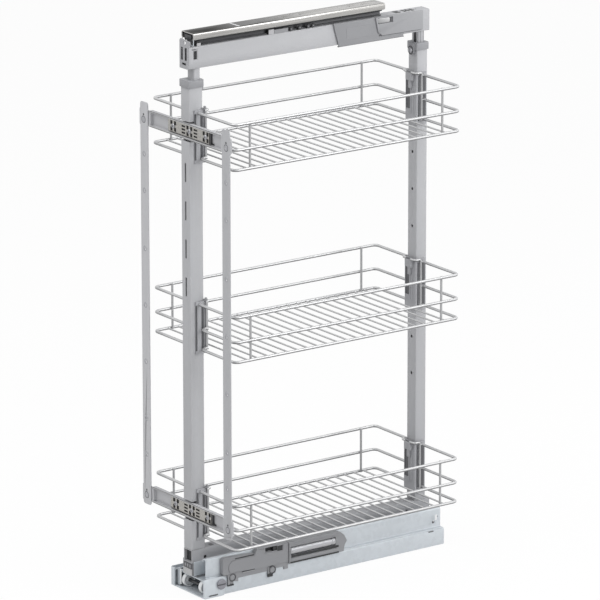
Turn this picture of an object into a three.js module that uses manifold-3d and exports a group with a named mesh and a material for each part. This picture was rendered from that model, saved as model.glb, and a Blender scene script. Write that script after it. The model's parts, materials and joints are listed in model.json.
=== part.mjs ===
import * as THREE from 'three';
import { mergeVertices } from 'three/addons/utils/BufferGeometryUtils.js';
import Module from 'manifold-3d';

const wasm = await Module();
wasm.setup();

// Pull out larder unit for a 300 mm cabinet, in millimetres.
// +X is across the cabinet, -Y is out of its front and +Z is up. The origin is on the underside of
// the base rail, midway between the two uprights. The unit is modelled pushed in.

// ---------------------------------------------------------------- driving dimensions
const CLEARANCE = 0.3; // between pieces that touch or slide

// frame
const FRAME_OPENING = 440; // along Y, between the inner faces of the uprights
const UPRIGHT_WIDTH = 25;
const FRONT_UPRIGHT_DEPTH = 27;
const REAR_UPRIGHT_DEPTH = 22;
const UPRIGHT_WALL = 2;
const UPRIGHT_LENGTH = 800;
const BEAM_SIZE = 24;
const BEAM_WALL = 2;
const BEAM_HEIGHT = 53; // underside of the bottom beam above the cabinet floor
const BEAM_REAR_OVERHANG = 9;

// slots and holes of the uprights
const SLOT_PITCH = 65.3;
const SLOT_LENGTH = 32.6;
const SLOT_WIDTH = 4;
const SLOT_COUNT = 4;
const SLOT_TOP = 131; // from the top of the front upright to the first slot
const HOLE_RADIUS = 3;
const HOLE_COUNT = 7;
const HOLE_TOP = 181; // from the top of the rear upright to the first hole

// base rail and the guide rail on its near side
const RAIL_LENGTH = 504;
const RAIL_WIDTH = 94;
const RAIL_WALL_HEIGHT = 30;
const RAIL_LIP = 7;
const RAIL_SHEET = 2;
const GUIDE_OFFSET = 40; // outer face of the guide rail from the middle
const GUIDE_HEIGHT = 36;
const GUIDE_LIP = 9;
const GUIDE_FRONT_SETBACK = 9;
const GUIDE_REAR_SETBACK = 3;

// rollers
const FRONT_ROLLER_RADIUS = 11.5;
const FRONT_ROLLER_WIDTH = 8;
const FRONT_ROLLER_OFFSETS = { left: -20.5, right: 28.5 }; // the roller's middle from the rail's middle
const FRONT_ROLLER_SETBACK = 15; // behind the front of the rail
const REAR_ROLLER_WIDTH = 5;
const REAR_ROLLER_PLAY = 0.5; // above and below the rear rollers
const REAR_ROLLER_SETBACK = 40; // from the middle rail's rear end
const AXLE_RADIUS = 3;

// roller cheeks
const CHEEK_THICKNESS = 1.5;
const CHEEK_LENGTH = 43;
const CHEEK_HEIGHT = 34;
const CHEEK_FLANGE = 10; // it ends beside the middle rail
const CHEEK_SCREW_RADIUS = 9;
const CHEEK_SCREW_HEIGHT = 21;

// middle rail and carriage
const MIDDLE_SIDE_GAP = 2.3;
const MIDDLE_HEIGHT = 22;
const MIDDLE_LIP = 8;
const MIDDLE_SETBACK = 17; // of its rear end from the base rail's
const TONGUE_LENGTH = 20; // of its floor in front of its walls
const LEG_WIDTH = 5.5; // of the stop leg at its front
const LEG_DROP = 20;
const SHOE_LENGTH = 18;
const FRONT_SHOE_HALF = 26.5;
const REAR_SHOE_LENGTH = 28.8;
const REAR_SHOE_SETBACK = 38;
const CARRIAGE_WIDTH = 28;
const CARRIAGE_WALL = 2;
const CARRIAGE_GAP = 3; // between the middle rail's floor and the carriage rail
const CARRIAGE_RISE = 3; // of its side walls past the beam's underside
const CARRIAGE_SETBACK = 2.5;

// soft-close housing, damper and catch, measured from the front of the rail
const HOUSING_START = 37;
const HOUSING_LENGTH = 135;
const HOUSING_DEPTH = 9.7;
const SKIRT_THICKNESS = 1.6;
const CATCH_WINDOW = 25;
const CATCH_WIDTH = 8;
const CRADLE_LENGTH = 121;
const CRADLE_DEPTH = 11.7;
const CYLINDER_RADIUS = 6.6;
const PISTON_RADIUS = 1.7;
const PISTON_REACH = 38; // of its rod into the cradle
const PISTON_HEIGHT = 52;
const CRADLE_FOOT = 28.5;
const CRADLE_NOSE = 24; // of the cradle past the cylinder
const HOOK_FOOT = 13.5; // height of the housing's hooks over the cabinet floor
const CATCH_TRAVEL = 16;

// baskets
const BASKET_WIDTH = 237.2; // between the wire centres
const BASKET_OVERLAP = 10.7; // of the end rims past the inner faces of the uprights
const BASKET_HEIGHTS = [101.7, 428, 755.4];
const BASKET_NAMES = ['lower', 'middle', 'upper'];
const RIM_RADIUS = 2.5;
const STAY_RADIUS = 2;
const FLOOR_WIRE_RADIUS = 1.35;
const RIM_CORNER = 9;
const MID_RIM_RISE = 34;
const TOP_RIM_RISE = 76.5;
const STAY_OFFSET = 197; // of the four stays, from the basket's middle
const FLOOR_WIRE_PITCH = 20.35;
const FLOOR_WIRE_COUNT = 21;
const WELD = 0.4; // how far crossing wires are sunk into each other
const WIRE_FLAT = Math.cos(Math.PI / 6); // from a six-sided wire's middle to its flats, per unit of radius

// basket brackets
const BRACKET_WALL = 2.6;
const BRACKET_DEPTH = 18; // along the upright's side
const BRACKET_BELOW = 9; // below the bottom rim
const BRACKET_ABOVE = 5; // above the top rim
const BRACKET_NOSE = 3.4; // thickness in front of the upright's inner face
const HOOK_BEND = 4; // where the top rim jogs round the brackets
const END_BEND = 12; // where the end rims turn in along the brackets

// door mount
const CHANNEL_LENGTH = 208;
const CHANNEL_HEIGHT = 28;
const CHANNEL_DEPTH = 8.5;
const CHANNEL_SHEET = 1.5;
const CHANNEL_HEIGHTS = [145.5, 801];
const DOOR_ADJUST = 5; // sideways travel each way
const PLATE_START = -55;
const PLATE_LENGTH = 119;
const PLATE_HEIGHT = 21;
const PLATE_THICKNESS = 3;
const PLATE_BOSS = 24;
const PLATE_BOSS_HEIGHT = 14;
const BOLT_PITCH = 47;
const NOTCH_GAP = 3; // between the upright's notches and the channels
const CARRIER_THICKNESS = 1.6;
const STRIP_OFFSET = 119;
const STRIP_WIDTH = 22;
const STRIP_THICKNESS = 2;
const STRIP_END_RADIUS = 5;
const STRIP_LUG_REACH = 13; // of the lugs on the outer side, from the strip's middle
const STRIP_LUG_LENGTH = 26;
const STRIP_TOP_RUN = 26; // past the middle of the upper channel
const STRIP_FOOT_RUN = 20.5; // past the middle of the lower channel
const TAB_LENGTH = 28;
const STRIP_HOLES = [-262, -199, -98.5, 0, 98.5, 199, 262]; // from the strip's middle
const STRIP_HOLE_RADIUS = 2.5;

// top assembly
const POST_WIDTH = 18.6;
const POST_DEPTH = 13.4;
const POST_WALL = 1.5;
const POST_SLOT = 6.6;
const POST_SHOW = 19.4; // of the inner post between collar and top beam
const POST_INSERTION = 165;
const COLLAR_RIM = 2; // collar beyond the upright on each side
const COLLAR_GRIP = 2.3; // of the upright inside the collar
const COLLAR_CROWN = 10;
const COLLAR_TAB_RADIUS = 8;
const COLLAR_TAB_DROP = 13.5; // from the collar's top to the clamp screw
const CLAMP_SHANK_RADIUS = 2.8;
const CLAMP_HEAD_RADIUS = 5;
const TOP_BEAM_HEIGHT = 37;
const TOP_BEAM_WALL = 2;
const TOP_BEAM_REAR = 4; // past the rear upright
const FRONT_CAP_RISE = 13;
const FRONT_CAP_THICKNESS = 1.7;
const COVER_START = 291; // from the beam's front
const COVER_LENGTH = 184.5;
const COVER_THICKNESS = 2.7;
const COVER_TAIL = 40; // of its shallow rear part
const LATCH_START = 376.5;
const LATCH_THICKNESS = 2.2;

// top slide
const SLIDE_LENGTH = 390;
const SLIDE_SETBACK = 6; // from the beam's front
const SLIDE_WIDTH = 35;
const SLIDE_HEIGHT = 11.5;
const SLIDE_SHEET = 1.5;
const SLIDE_LIP = 5;
const SLIDE_STANDOFF = 12; // between the top beam and the fixed rail
const MIDDLE_SLIDE_WIDTH = 24;
const MIDDLE_SLIDE_HEIGHT = 13;
const INNER_SLIDE_WIDTH = 15;
const BALL_RADIUS = 1.55;
const BALL_COUNT = 3;

// ---------------------------------------------------------------- derived places
const frontInner = -FRAME_OPENING / 2;
const frontOuter = frontInner - FRONT_UPRIGHT_DEPTH;
const rearInner = FRAME_OPENING / 2;
const rearOuter = rearInner + REAR_UPRIGHT_DEPTH;
const beamTop = BEAM_HEIGHT + BEAM_SIZE;
const uprightFoot = beamTop + CLEARANCE;
const uprightTop = uprightFoot + UPRIGHT_LENGTH;
const collarTop = uprightTop + COLLAR_CROWN;
const topBeamFoot = collarTop + POST_SHOW;
const topBeamTop = topBeamFoot + TOP_BEAM_HEIGHT;
const railRear = frontOuter + RAIL_LENGTH;
const middleFloor = RAIL_SHEET + 1 + 2 * FRONT_ROLLER_RADIUS + CLEARANCE;
const middleTop = middleFloor + MIDDLE_HEIGHT;
const middleHalf = RAIL_WIDTH / 2 - RAIL_LIP - MIDDLE_SIDE_GAP;
const middleFront = frontOuter + 7;
const middleRear = railRear - MIDDLE_SETBACK;
const rearRollerY = middleRear - REAR_ROLLER_SETBACK;
const carriageFront = frontOuter + CARRIAGE_SETBACK;
const carriageFoot = middleFloor + RAIL_SHEET + CARRIAGE_GAP;
const carriageTop = BEAM_HEIGHT - CLEARANCE;
const notchDepth = CHANNEL_DEPTH + CARRIER_THICKNESS + 2 * CLEARANCE;
const guideFoot = RAIL_WALL_HEIGHT + CLEARANCE;
const guideTop = guideFoot + GUIDE_HEIGHT;

// ---------------------------------------------------------------- finishes
function finish(color, roughness, metalness) {
  return new THREE.MeshStandardMaterial({ color, roughness, metalness });
}

const galvanised = finish(0xc3c9ce, 0.45, 0.35);
const satinGrey = finish(0xa9aaad, 0.42, 0.5);
const wireSilver = finish(0xc9cacb, 0.35, 0.55);
const mouldedGrey = finish(0x97989c, 0.55, 0);
const chrome = finish(0xd6d4cf, 0.15, 1);
const rollerWhite = finish(0xe9eaec, 0.4, 0);
const screwSteel = finish(0x9a9ca3, 0.35, 0.8);
const blackPlastic = finish(0x26272a, 0.5, 0);

// ---------------------------------------------------------------- solids from three.js geometry

// A closed geometry as a solid that can be cut and joined.
function toSolid(geometry) {
  const bare = geometry.clone();
  bare.deleteAttribute('normal');
  bare.deleteAttribute('uv');
  const merged = mergeVertices(bare, 1e-4);
  return new wasm.Manifold(new wasm.Mesh({
    numProp: 3,
    vertProperties: new Float32Array(merged.attributes.position.array),
    triVerts: Uint32Array.from(merged.index.array),
  }));
}

// A named mesh from a solid.
function piece(name, solid, material) {
  const mesh = solid.getMesh();
  const geometry = new THREE.BufferGeometry();
  geometry.setAttribute('position', new THREE.BufferAttribute(mesh.vertProperties, 3));
  geometry.setIndex(new THREE.BufferAttribute(mesh.triVerts, 1));
  const result = new THREE.Mesh(geometry, material);
  result.name = name;
  return result;
}

// Joins any number of solids.
function join(...solids) {
  return solids.reduce((whole, next) => whole.add(next));
}

// Cuts any number of solids out of the first.
function cut(body, ...tools) {
  return tools.reduce((whole, tool) => whole.subtract(tool), body);
}

// A block between two corners.
function block(x0, x1, y0, y1, z0, z1) {
  const geometry = new THREE.BoxGeometry(x1 - x0, y1 - y0, z1 - z0);
  geometry.translate((x0 + x1) / 2, (y0 + y1) / 2, (z0 + z1) / 2);
  return toSolid(geometry);
}

const ACROSS = new THREE.Matrix4().makeBasis(
  new THREE.Vector3(0, 1, 0), new THREE.Vector3(0, 0, 1), new THREE.Vector3(1, 0, 0));
const ALONG = new THREE.Matrix4().makeBasis(
  new THREE.Vector3(1, 0, 0), new THREE.Vector3(0, 0, 1), new THREE.Vector3(0, -1, 0));

// Drops points that fall on the one before them.
function withoutRepeats(points) {
  return points.filter((point, i) => {
    const before = points[(i + points.length - 1) % points.length];
    return point.distanceTo(before) > 1e-3;
  });
}

// A straight extrusion, drawn upwards from zero.
function extrude(shape, depth, curveSegments) {
  const outline = shape.extractPoints(curveSegments);
  const clean = new THREE.Shape(withoutRepeats(outline.shape));
  clean.holes = outline.holes.map((hole) => new THREE.Path(withoutRepeats(hole)));
  return new THREE.ExtrudeGeometry(clean, { depth, steps: 1, bevelEnabled: false });
}

// A shape drawn in Y and Z, extruded across from x0 to x1.
function extrudeX(shape, x0, x1, curveSegments = 1) {
  const geometry = extrude(shape, x1 - x0, curveSegments);
  geometry.applyMatrix4(ACROSS);
  geometry.translate(x0, 0, 0);
  return toSolid(geometry);
}

// A shape drawn in X and Z, extruded along the cabinet from y0 to y1.
function extrudeY(shape, y0, y1, curveSegments = 1) {
  const geometry = extrude(shape, y1 - y0, curveSegments);
  geometry.applyMatrix4(ALONG);
  geometry.translate(0, y1, 0);
  return toSolid(geometry);
}

// A shape drawn in X and Y, extruded upwards from z0 to z1.
function extrudeZ(shape, z0, z1, curveSegments = 1) {
  const geometry = extrude(shape, z1 - z0, curveSegments);
  geometry.translate(0, 0, z0);
  return toSolid(geometry);
}

// A rectangle with round corners.
function roundRect(a0, a1, b0, b1, radius) {
  const shape = new THREE.Shape();
  shape.moveTo(a0 + radius, b0);
  shape.lineTo(a1 - radius, b0);
  shape.absarc(a1 - radius, b0 + radius, radius, -Math.PI / 2, 0);
  shape.lineTo(a1, b1 - radius);
  shape.absarc(a1 - radius, b1 - radius, radius, 0, Math.PI / 2);
  shape.lineTo(a0 + radius, b1);
  shape.absarc(a0 + radius, b1 - radius, radius, Math.PI / 2, Math.PI);
  shape.lineTo(a0, b0 + radius);
  shape.absarc(a0 + radius, b0 + radius, radius, Math.PI, 1.5 * Math.PI);
  return shape;
}

// A plain polygon.
function polygon(points) {
  return new THREE.Shape(points.map(([a, b]) => new THREE.Vector2(a, b)));
}

// A rectangular tube, extruded by one of the three functions above.
function tube(extrudeAlong, [a0, a1, b0, b1], wall, radius, from, to) {
  const inside = polygon([
    [a0 + wall, b0 + wall], [a1 - wall, b0 + wall], [a1 - wall, b1 - wall], [a0 + wall, b1 - wall],
  ]);
  return cut(
    extrudeAlong(roundRect(a0, a1, b0, b1, radius), from, to), extrudeAlong(inside, from - 1, to + 1));
}

// A middle line through corner points, with the inner corners rounded to the given radii in turn.
// Each bend gets the given number of steps.
function roundedPath(corners, radii, steps) {
  const path = [corners[0]];
  for (let i = 1; i < corners.length - 1; i += 1) {
    const radius = radii[(i - 1) % radii.length];
    const corner = corners[i];
    const back = corners[i - 1].clone().sub(corner).normalize();
    const ahead = corners[i + 1].clone().sub(corner).normalize();
    const half = Math.acos(THREE.MathUtils.clamp(back.dot(ahead), -1, 1)) / 2;
    const reach = radius / Math.tan(half);
    const centre = back.clone().add(ahead).normalize().multiplyScalar(radius / Math.sin(half)).add(corner);
    const start = back.clone().multiplyScalar(reach).add(corner).sub(centre);
    const end = ahead.clone().multiplyScalar(reach).add(corner).sub(centre);
    const sweep = start.angleTo(end);
    for (let step = 0; step <= steps; step += 1) {
      const share = step / steps;
      const a = Math.sin((1 - share) * sweep) / Math.sin(sweep);
      const b = Math.sin(share * sweep) / Math.sin(sweep);
      path.push(start.clone().multiplyScalar(a).add(end.clone().multiplyScalar(b)).add(centre));
    }
  }
  path.push(corners[corners.length - 1]);
  return path;
}

// The section of a folded sheet, from the corners of its middle line.
function foldedSheet(corners, thickness, radius, steps = 2) {
  const path = roundedPath(corners.map(([a, b]) => new THREE.Vector2(a, b)), [radius], steps);
  const left = [];
  const right = [];
  for (let i = 0; i < path.length; i += 1) {
    const before = path[i].clone().sub(path[Math.max(i - 1, 0)]).normalize();
    const after = path[Math.min(i + 1, path.length - 1)].clone().sub(path[i]).normalize();
    const along = before.add(after).normalize();
    const turn = i === 0 || i === path.length - 1 ? 1 : along.dot(after);
    const offset = new THREE.Vector2(-along.y, along.x).multiplyScalar(thickness / 2 / turn);
    left.push(path[i].clone().add(offset));
    right.unshift(path[i].clone().sub(offset));
  }
  return new THREE.Shape([...left, ...right]);
}

// A round bar between two points.
function bar(from, to, radius, sides = 10) {
  const start = new THREE.Vector3(...from);
  const run = new THREE.Vector3(...to).sub(start);
  const geometry = new THREE.CylinderGeometry(radius, radius, run.length(), sides, 1);
  geometry.translate(0, run.length() / 2, 0);
  const turn = new THREE.Quaternion().setFromUnitVectors(
    new THREE.Vector3(0, 1, 0), run.clone().normalize());
  geometry.applyQuaternion(turn);
  geometry.translate(start.x, start.y, start.z);
  return toSolid(geometry);
}

// A round body turned about the X axis, from a profile of [radius, x] points.
function turnedX(profile, y, z, segments = 11) {
  const geometry = new THREE.LatheGeometry(
    profile.map(([radius, x]) => new THREE.Vector2(radius, x)), segments);
  geometry.rotateZ(-Math.PI / 2);
  geometry.translate(0, y, z);
  return toSolid(geometry);
}

// A wire's centre line with a section ring at every given point.
class WirePath extends THREE.Curve {
  constructor(points) {
    super();
    this.points = points;
  }

  getSpacedPoints() {
    return this.points;
  }

  getTangentAt(share) {
    const last = this.points.length - 1;
    const i = Math.round(share * last);
    const before = this.points[i].clone().sub(this.points[Math.max(i - 1, 0)]).normalize();
    const after = this.points[Math.min(i + 1, last)].clone().sub(this.points[i]).normalize();
    return before.add(after).normalize();
  }
}

// A bent round wire through corner points, with the bend radii of its corners in turn.
function bentWire(corners, wireRadius, bendRadii, sides = 6, steps = 2) {
  const path = roundedPath(corners.map((corner) => new THREE.Vector3(...corner)), bendRadii, steps);
  const ring = new THREE.Shape();
  for (let side = 0; side < sides; side += 1) {
    const angle = (side / sides) * 2 * Math.PI;
    const point = [wireRadius * Math.cos(angle), wireRadius * Math.sin(angle)];
    if (side === 0) ring.moveTo(...point);
    else ring.lineTo(...point);
  }
  const curve = new WirePath(path);
  return toSolid(new THREE.ExtrudeGeometry(ring, {
    steps: path.length - 1, extrudePath: curve, bevelEnabled: false,
  }));
}

// ---------------------------------------------------------------- base rail, fixed to the cabinet

function baseRail() {
  const half = RAIL_WIDTH / 2 - RAIL_SHEET / 2;
  const top = RAIL_WALL_HEIGHT - RAIL_SHEET / 2;
  const lip = RAIL_WIDTH / 2 - RAIL_LIP;
  const foot = RAIL_SHEET / 2;
  const section = foldedSheet(
    [[-lip, top], [-half, top], [-half, foot], [half, foot], [half, top], [lip, top]], RAIL_SHEET, 2);
  const body = extrudeY(section, frontOuter, railRear);
  const screwHoles = [-190, -60, 80, 210].map((y) => bar([0, y, -1], [0, y, RAIL_SHEET + 1], 2.5, 6));
  return cut(body, ...screwHoles);
}

function sideGuideRail() {
  const wall = GUIDE_OFFSET - RAIL_SHEET / 2;
  const foot = guideFoot + RAIL_SHEET / 2;
  const top = guideTop - RAIL_SHEET / 2;
  const lip = GUIDE_OFFSET - GUIDE_LIP;
  const section = foldedSheet(
    [[RAIL_WIDTH / 2 - 1, foot], [wall, foot], [wall, top], [lip, top], [lip, top - 5]], RAIL_SHEET, 2.5);
  const rear = railRear - GUIDE_REAR_SETBACK;
  const body = extrudeY(section, frontOuter + GUIDE_FRONT_SETBACK, rear);
  const inside = GUIDE_OFFSET - RAIL_SHEET - 1;
  return cut(
    body,
    bar([inside, rear - 8, guideFoot + 20], [GUIDE_OFFSET + 1, rear - 8, guideFoot + 20], 2.6, 8),
    block(inside, GUIDE_OFFSET + 1, rear - 18, rear - 12, guideFoot + 10, guideFoot + 14),
  );
}

const frontRollerY = frontOuter + FRONT_ROLLER_SETBACK;
const frontRollerZ = RAIL_SHEET + 1 + FRONT_ROLLER_RADIUS;
const cheekInner = RAIL_WIDTH / 2 + CLEARANCE;
const cheekOuter = cheekInner + CHEEK_THICKNESS;
const cheekFront = frontOuter - 2;
const cheekScrewY = cheekFront + CHEEK_LENGTH - CHEEK_SCREW_RADIUS + 2;

function cheekOutline() {
  return roundRect(cheekFront, cheekFront + CHEEK_LENGTH, 0, CHEEK_HEIGHT, 3);
}

function nearCheek() {
  const body = extrudeX(cheekOutline(), cheekInner, cheekOuter);
  return cut(
    body,
    block(cheekInner - 1, cheekOuter + 1, cheekFront + 10, cheekFront + 28, 2.4, 4.6),
    bar([cheekInner - 1, cheekScrewY, CHEEK_SCREW_HEIGHT], [cheekOuter + 1, cheekScrewY, CHEEK_SCREW_HEIGHT],
      3.5, 8),
  );
}

// The far cheek also has a flange turned in across the front of the rail.
function farCheek() {
  const half = cheekInner + CHEEK_THICKNESS / 2;
  const front = cheekFront + CHEEK_THICKNESS / 2;
  const section = foldedSheet([
    [-half, cheekFront + CHEEK_LENGTH], [-half, front], [-half + CHEEK_FLANGE, front],
  ], CHEEK_THICKNESS, 1.2);
  const body = extrudeZ(section, 0, CHEEK_HEIGHT);
  const corner = extrudeX(cheekOutline(), -cheekOuter - 1, cheekOuter);
  return body.intersect(corner);
}

// The axle is carried by the two walls of the base rail and spins in neither.
function frontAxle() {
  const reach = RAIL_WIDTH / 2 - RAIL_SHEET - CLEARANCE;
  return bar([-reach, frontRollerY, frontRollerZ], [reach, frontRollerY, frontRollerZ], AXLE_RADIUS, 10);
}

// A roller with a rounded tread and a bore for its axle, with or without a recessed web.
function roller(offset, radius, width, y, z, webDepth) {
  const bore = AXLE_RADIUS + CLEARANCE;
  const half = width / 2;
  const web = (side) => (webDepth === 0 ? [] : [
    [bore + 2, side * half], [bore + 2, side * (half - webDepth)],
    [radius - 2.5, side * (half - webDepth)], [radius - 2.5, side * half],
  ]);
  const profile = [
    [bore, -half], ...web(-1), [radius - 0.8, -half], [radius, -half + 0.8],
    [radius, half - 0.8], [radius - 0.8, half], ...web(1).reverse(), [bore, half], [bore, -half],
  ];
  return turnedX(profile.map(([r, x]) => [r, x + offset]), y, z);
}

function cheekScrew() {
  const x = cheekOuter + CLEARANCE;
  const z = CHEEK_SCREW_HEIGHT;
  const head = bar([x, cheekScrewY, z], [x + 3, cheekScrewY, z], CHEEK_SCREW_RADIUS, 16);
  const shank = bar([cheekInner, cheekScrewY, z], [x + 1, cheekScrewY, z], 3.1, 8);
  const reach = 2 * CHEEK_SCREW_RADIUS;
  const slot = block(x + 1.4, x + 4, cheekScrewY - reach, cheekScrewY + reach, z - 1, z + 1);
  return cut(join(head, shank), slot);
}

// ---------------------------------------------------------------- soft-close housing on the near side

const housingInner = GUIDE_OFFSET + CLEARANCE;
const housingOuter = housingInner + HOUSING_DEPTH;
const housingFront = frontOuter + HOUSING_START;
const housingRear = housingFront + HOUSING_LENGTH;
const windowRear = housingRear - 23;
const windowFront = windowRear - CATCH_WINDOW;
const pistonX = housingInner + CYLINDER_RADIUS;
const pistonZ = PISTON_HEIGHT;
const shoulder = windowFront - 20;
const cradleFront = housingRear + CLEARANCE;
const cradleRear = cradleFront + CRADLE_LENGTH;

// The moulding's side outline, with a raised part round the catch.
function housingOutline() {
  const foot = guideFoot + 4;
  const shape = new THREE.Shape();
  shape.moveTo(housingFront, foot + 2);
  shape.lineTo(housingFront, guideTop - 4);
  shape.quadraticCurveTo(housingFront, guideTop - 1, housingFront + 4, guideTop - 1.2);
  shape.lineTo(shoulder, guideTop - 5);
  shape.lineTo(shoulder + 3, guideTop + 3);
  shape.lineTo(housingRear - 2, guideTop + 2.5);
  shape.lineTo(housingRear, guideTop);
  shape.lineTo(housingRear, foot);
  shape.lineTo(housingFront + 2, foot);
  return shape;
}

// The skirt and its two hooks grip the outer wall of the base rail.
function skirtOutline() {
  const top = guideFoot + 4.5;
  const hook = HOOK_FOOT;
  const notch = hook + 7.5;
  const first = housingFront + 10;
  const second = windowFront + 6;
  return polygon([
    [first, top], [first, hook], [first + 12, hook], [first + 12, notch], [first + 22, notch - 2],
    [first + 22, notch + 4], [second, notch + 4], [second, hook], [second + 10, hook],
    [second + 10, notch], [second + 16, notch - 2], [second + 17, notch + 6], [housingRear - 9, notch + 6],
    [housingRear - 9, notch + 0.7], [housingRear, notch + 0.7], [housingRear, top],
  ]);
}

function housing() {
  const body = extrudeX(housingOutline(), housingInner, housingOuter);
  const skirtInner = RAIL_WIDTH / 2 + CLEARANCE;
  const skirt = extrudeX(skirtOutline(), skirtInner, skirtInner + SKIRT_THICKNESS);
  const window = block(
    housingInner + 3, housingOuter + 1, windowFront, windowRear, guideTop - 7, guideTop + 1);
  const footHalf = PISTON_RADIUS + 0.2 + CLEARANCE;
  const pocket = block(
    pistonX - footHalf, pistonX + footHalf, windowFront, windowRear, pistonZ - 4, guideTop - 6);
  const bore = bar([pistonX, windowFront + 1, pistonZ], [pistonX, housingRear + 1, pistonZ],
    PISTON_RADIUS + CLEARANCE, 8);
  const ledge = guideFoot + 6;
  const strap = block(
    housingOuter - 1.2, housingOuter + 1, housingFront + 22, shoulder - 2, ledge, ledge + 1.7);
  return cut(join(body, skirt), window, pocket, bore, strap);
}

// The black catch shows in the window, and its piston rod runs back into the cylinder.
function softCloseCatch() {
  const rear = windowRear - CLEARANCE;
  const front = rear - CATCH_WIDTH;
  const foot = block(
    pistonX - PISTON_RADIUS - 0.2, pistonX + PISTON_RADIUS + 0.2, front, rear,
    pistonZ - 3.6, guideTop - 7 + CLEARANCE);
  const head = block(
    housingInner + 3 + CLEARANCE, housingOuter - 1, front, rear, guideTop - 7 + CLEARANCE, guideTop);
  const rod = bar(
    [pistonX, rear - 1, pistonZ], [pistonX, cradleFront + PISTON_REACH, pistonZ], PISTON_RADIUS, 8);
  return join(foot, head, rod);
}

// An open frame that holds the damper cylinder, with a pointed rear end.
function damperCradle() {
  const foot = CRADLE_FOOT;
  const top = guideTop + 2;
  const outline = polygon([
    [cradleFront, foot + 2], [cradleFront, top], [cradleRear - 15, top - 1], [cradleRear - 6, top - 8],
    [cradleRear, top - 19], [cradleRear - 5, top - 26], [cradleRear - 7, foot + 2.5],
  ]);
  const body = extrudeX(outline, housingInner, housingInner + CRADLE_DEPTH);
  const ledge = guideFoot + RAIL_SHEET + CLEARANCE;
  const opened = cradleRear - CRADLE_NOSE;
  const opening = block(
    housingInner - 1, housingInner + CRADLE_DEPTH + 1, cradleFront + 3, opened,
    pistonZ - CYLINDER_RADIUS - 1, pistonZ + CYLINDER_RADIUS + 1);
  const bore = bar([pistonX, cradleFront - 1, pistonZ], [pistonX, cradleFront + 5, pistonZ],
    PISTON_RADIUS + CLEARANCE, 8);
  const railRoom = join(
    block(0, RAIL_WIDTH / 2 + CLEARANCE, cradleFront - 1, cradleRear + 1, 0, ledge),
    block(0, housingInner + 1.6, cradleFront - 1, cradleRear + 1, 0, ledge + 1.6),
  );
  const groove = block(
    housingInner + CRADLE_DEPTH - 1.5, housingInner + CRADLE_DEPTH + 1, cradleFront + 4, opened + 2,
    foot + 10.5, foot + 12.5);
  return cut(body, opening, bore, railRoom, groove);
}

// The cylinder is bored from the front for the piston rod.
function damperCylinder() {
  const front = cradleFront + 3 + CLEARANCE;
  const rear = cradleRear - CRADLE_NOSE - CLEARANCE;
  const bore = PISTON_RADIUS + CLEARANCE;
  const profile = [
    [0, rear], [CYLINDER_RADIUS - 1, rear], [CYLINDER_RADIUS, rear - 1], [CYLINDER_RADIUS, rear - 8],
    [CYLINDER_RADIUS - 0.6, rear - 8.5], [CYLINDER_RADIUS - 0.6, rear - 10], [CYLINDER_RADIUS, rear - 10.5],
    [CYLINDER_RADIUS, front + 1], [CYLINDER_RADIUS - 1, front], [bore, front],
    [bore, front + PISTON_REACH + 2],
    [0, front + PISTON_REACH + 2],
  ];
  const geometry = new THREE.LatheGeometry(
    profile.map(([radius, y]) => new THREE.Vector2(radius, y)).reverse(), 12);
  geometry.translate(housingInner + CYLINDER_RADIUS, 0, pistonZ);
  return toSolid(geometry);
}

// ---------------------------------------------------------------- middle rail

const rearRollerRadius = (RAIL_WALL_HEIGHT - 2 * RAIL_SHEET) / 2 - REAR_ROLLER_PLAY;
const rearRollerZ = RAIL_WALL_HEIGHT / 2;
const rearRollerOuter = RAIL_WIDTH / 2 - RAIL_SHEET - 1;

function middleRail() {
  const half = middleHalf - RAIL_SHEET / 2;
  const foot = middleFloor + RAIL_SHEET / 2;
  const top = middleTop - RAIL_SHEET / 2;
  const lip = middleHalf - MIDDLE_LIP;
  const section = foldedSheet(
    [[-lip, top], [-half, top], [-half, foot], [half, foot], [half, top], [lip, top]], RAIL_SHEET, 2);
  const body = extrudeY(section, middleFront, middleRear);
  const tongue = block(
    -middleHalf - 1, middleHalf + 1, middleFront - 1, middleFront + TONGUE_LENGTH,
    middleFloor + RAIL_SHEET, middleTop + 1);
  const leg = block(
    1 - middleHalf, 1 - middleHalf + LEG_WIDTH, middleFront, middleFront + RAIL_SHEET,
    middleFloor - LEG_DROP, middleFloor + 1);
  const ears = [-1, 1].map((side) => {
    const x = side * (middleHalf - 4);
    const outline = polygon([
      [rearRollerY - 12, middleFloor + 0.5], [rearRollerY + 12, middleFloor + 0.5],
      [rearRollerY + 7, rearRollerZ - 7], [rearRollerY - 7, rearRollerZ - 7],
    ]);
    return extrudeX(outline, x - 1, x + 1);
  });
  const bore = bar(
    [-middleHalf, rearRollerY, rearRollerZ], [middleHalf, rearRollerY, rearRollerZ],
    AXLE_RADIUS + CLEARANCE, 10);
  return cut(join(cut(body, tongue), leg, ...ears), bore);
}

// The front shoe stands on the middle rail's tongue and guides the carriage rail on its left side.
function frontShoe() {
  const foot = middleFloor + RAIL_SHEET + CLEARANCE;
  const slot = CARRIAGE_WIDTH / 2 + CLEARANCE;
  const bed = carriageFoot - CLEARANCE;
  const start = middleFront + 1;
  const body = extrudeY(polygon([
    [-FRONT_SHOE_HALF, foot], [slot, foot], [slot, bed], [-slot, bed], [-slot, BEAM_HEIGHT],
    [1 - FRONT_SHOE_HALF, BEAM_HEIGHT], [-FRONT_SHOE_HALF, BEAM_HEIGHT - 1],
  ]), start, start + SHOE_LENGTH);
  const groove = block(
    -slot - 7, -slot - 4, start - 1, start + 3, foot + 4, BEAM_HEIGHT - 4);
  return cut(body, groove);
}

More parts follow.
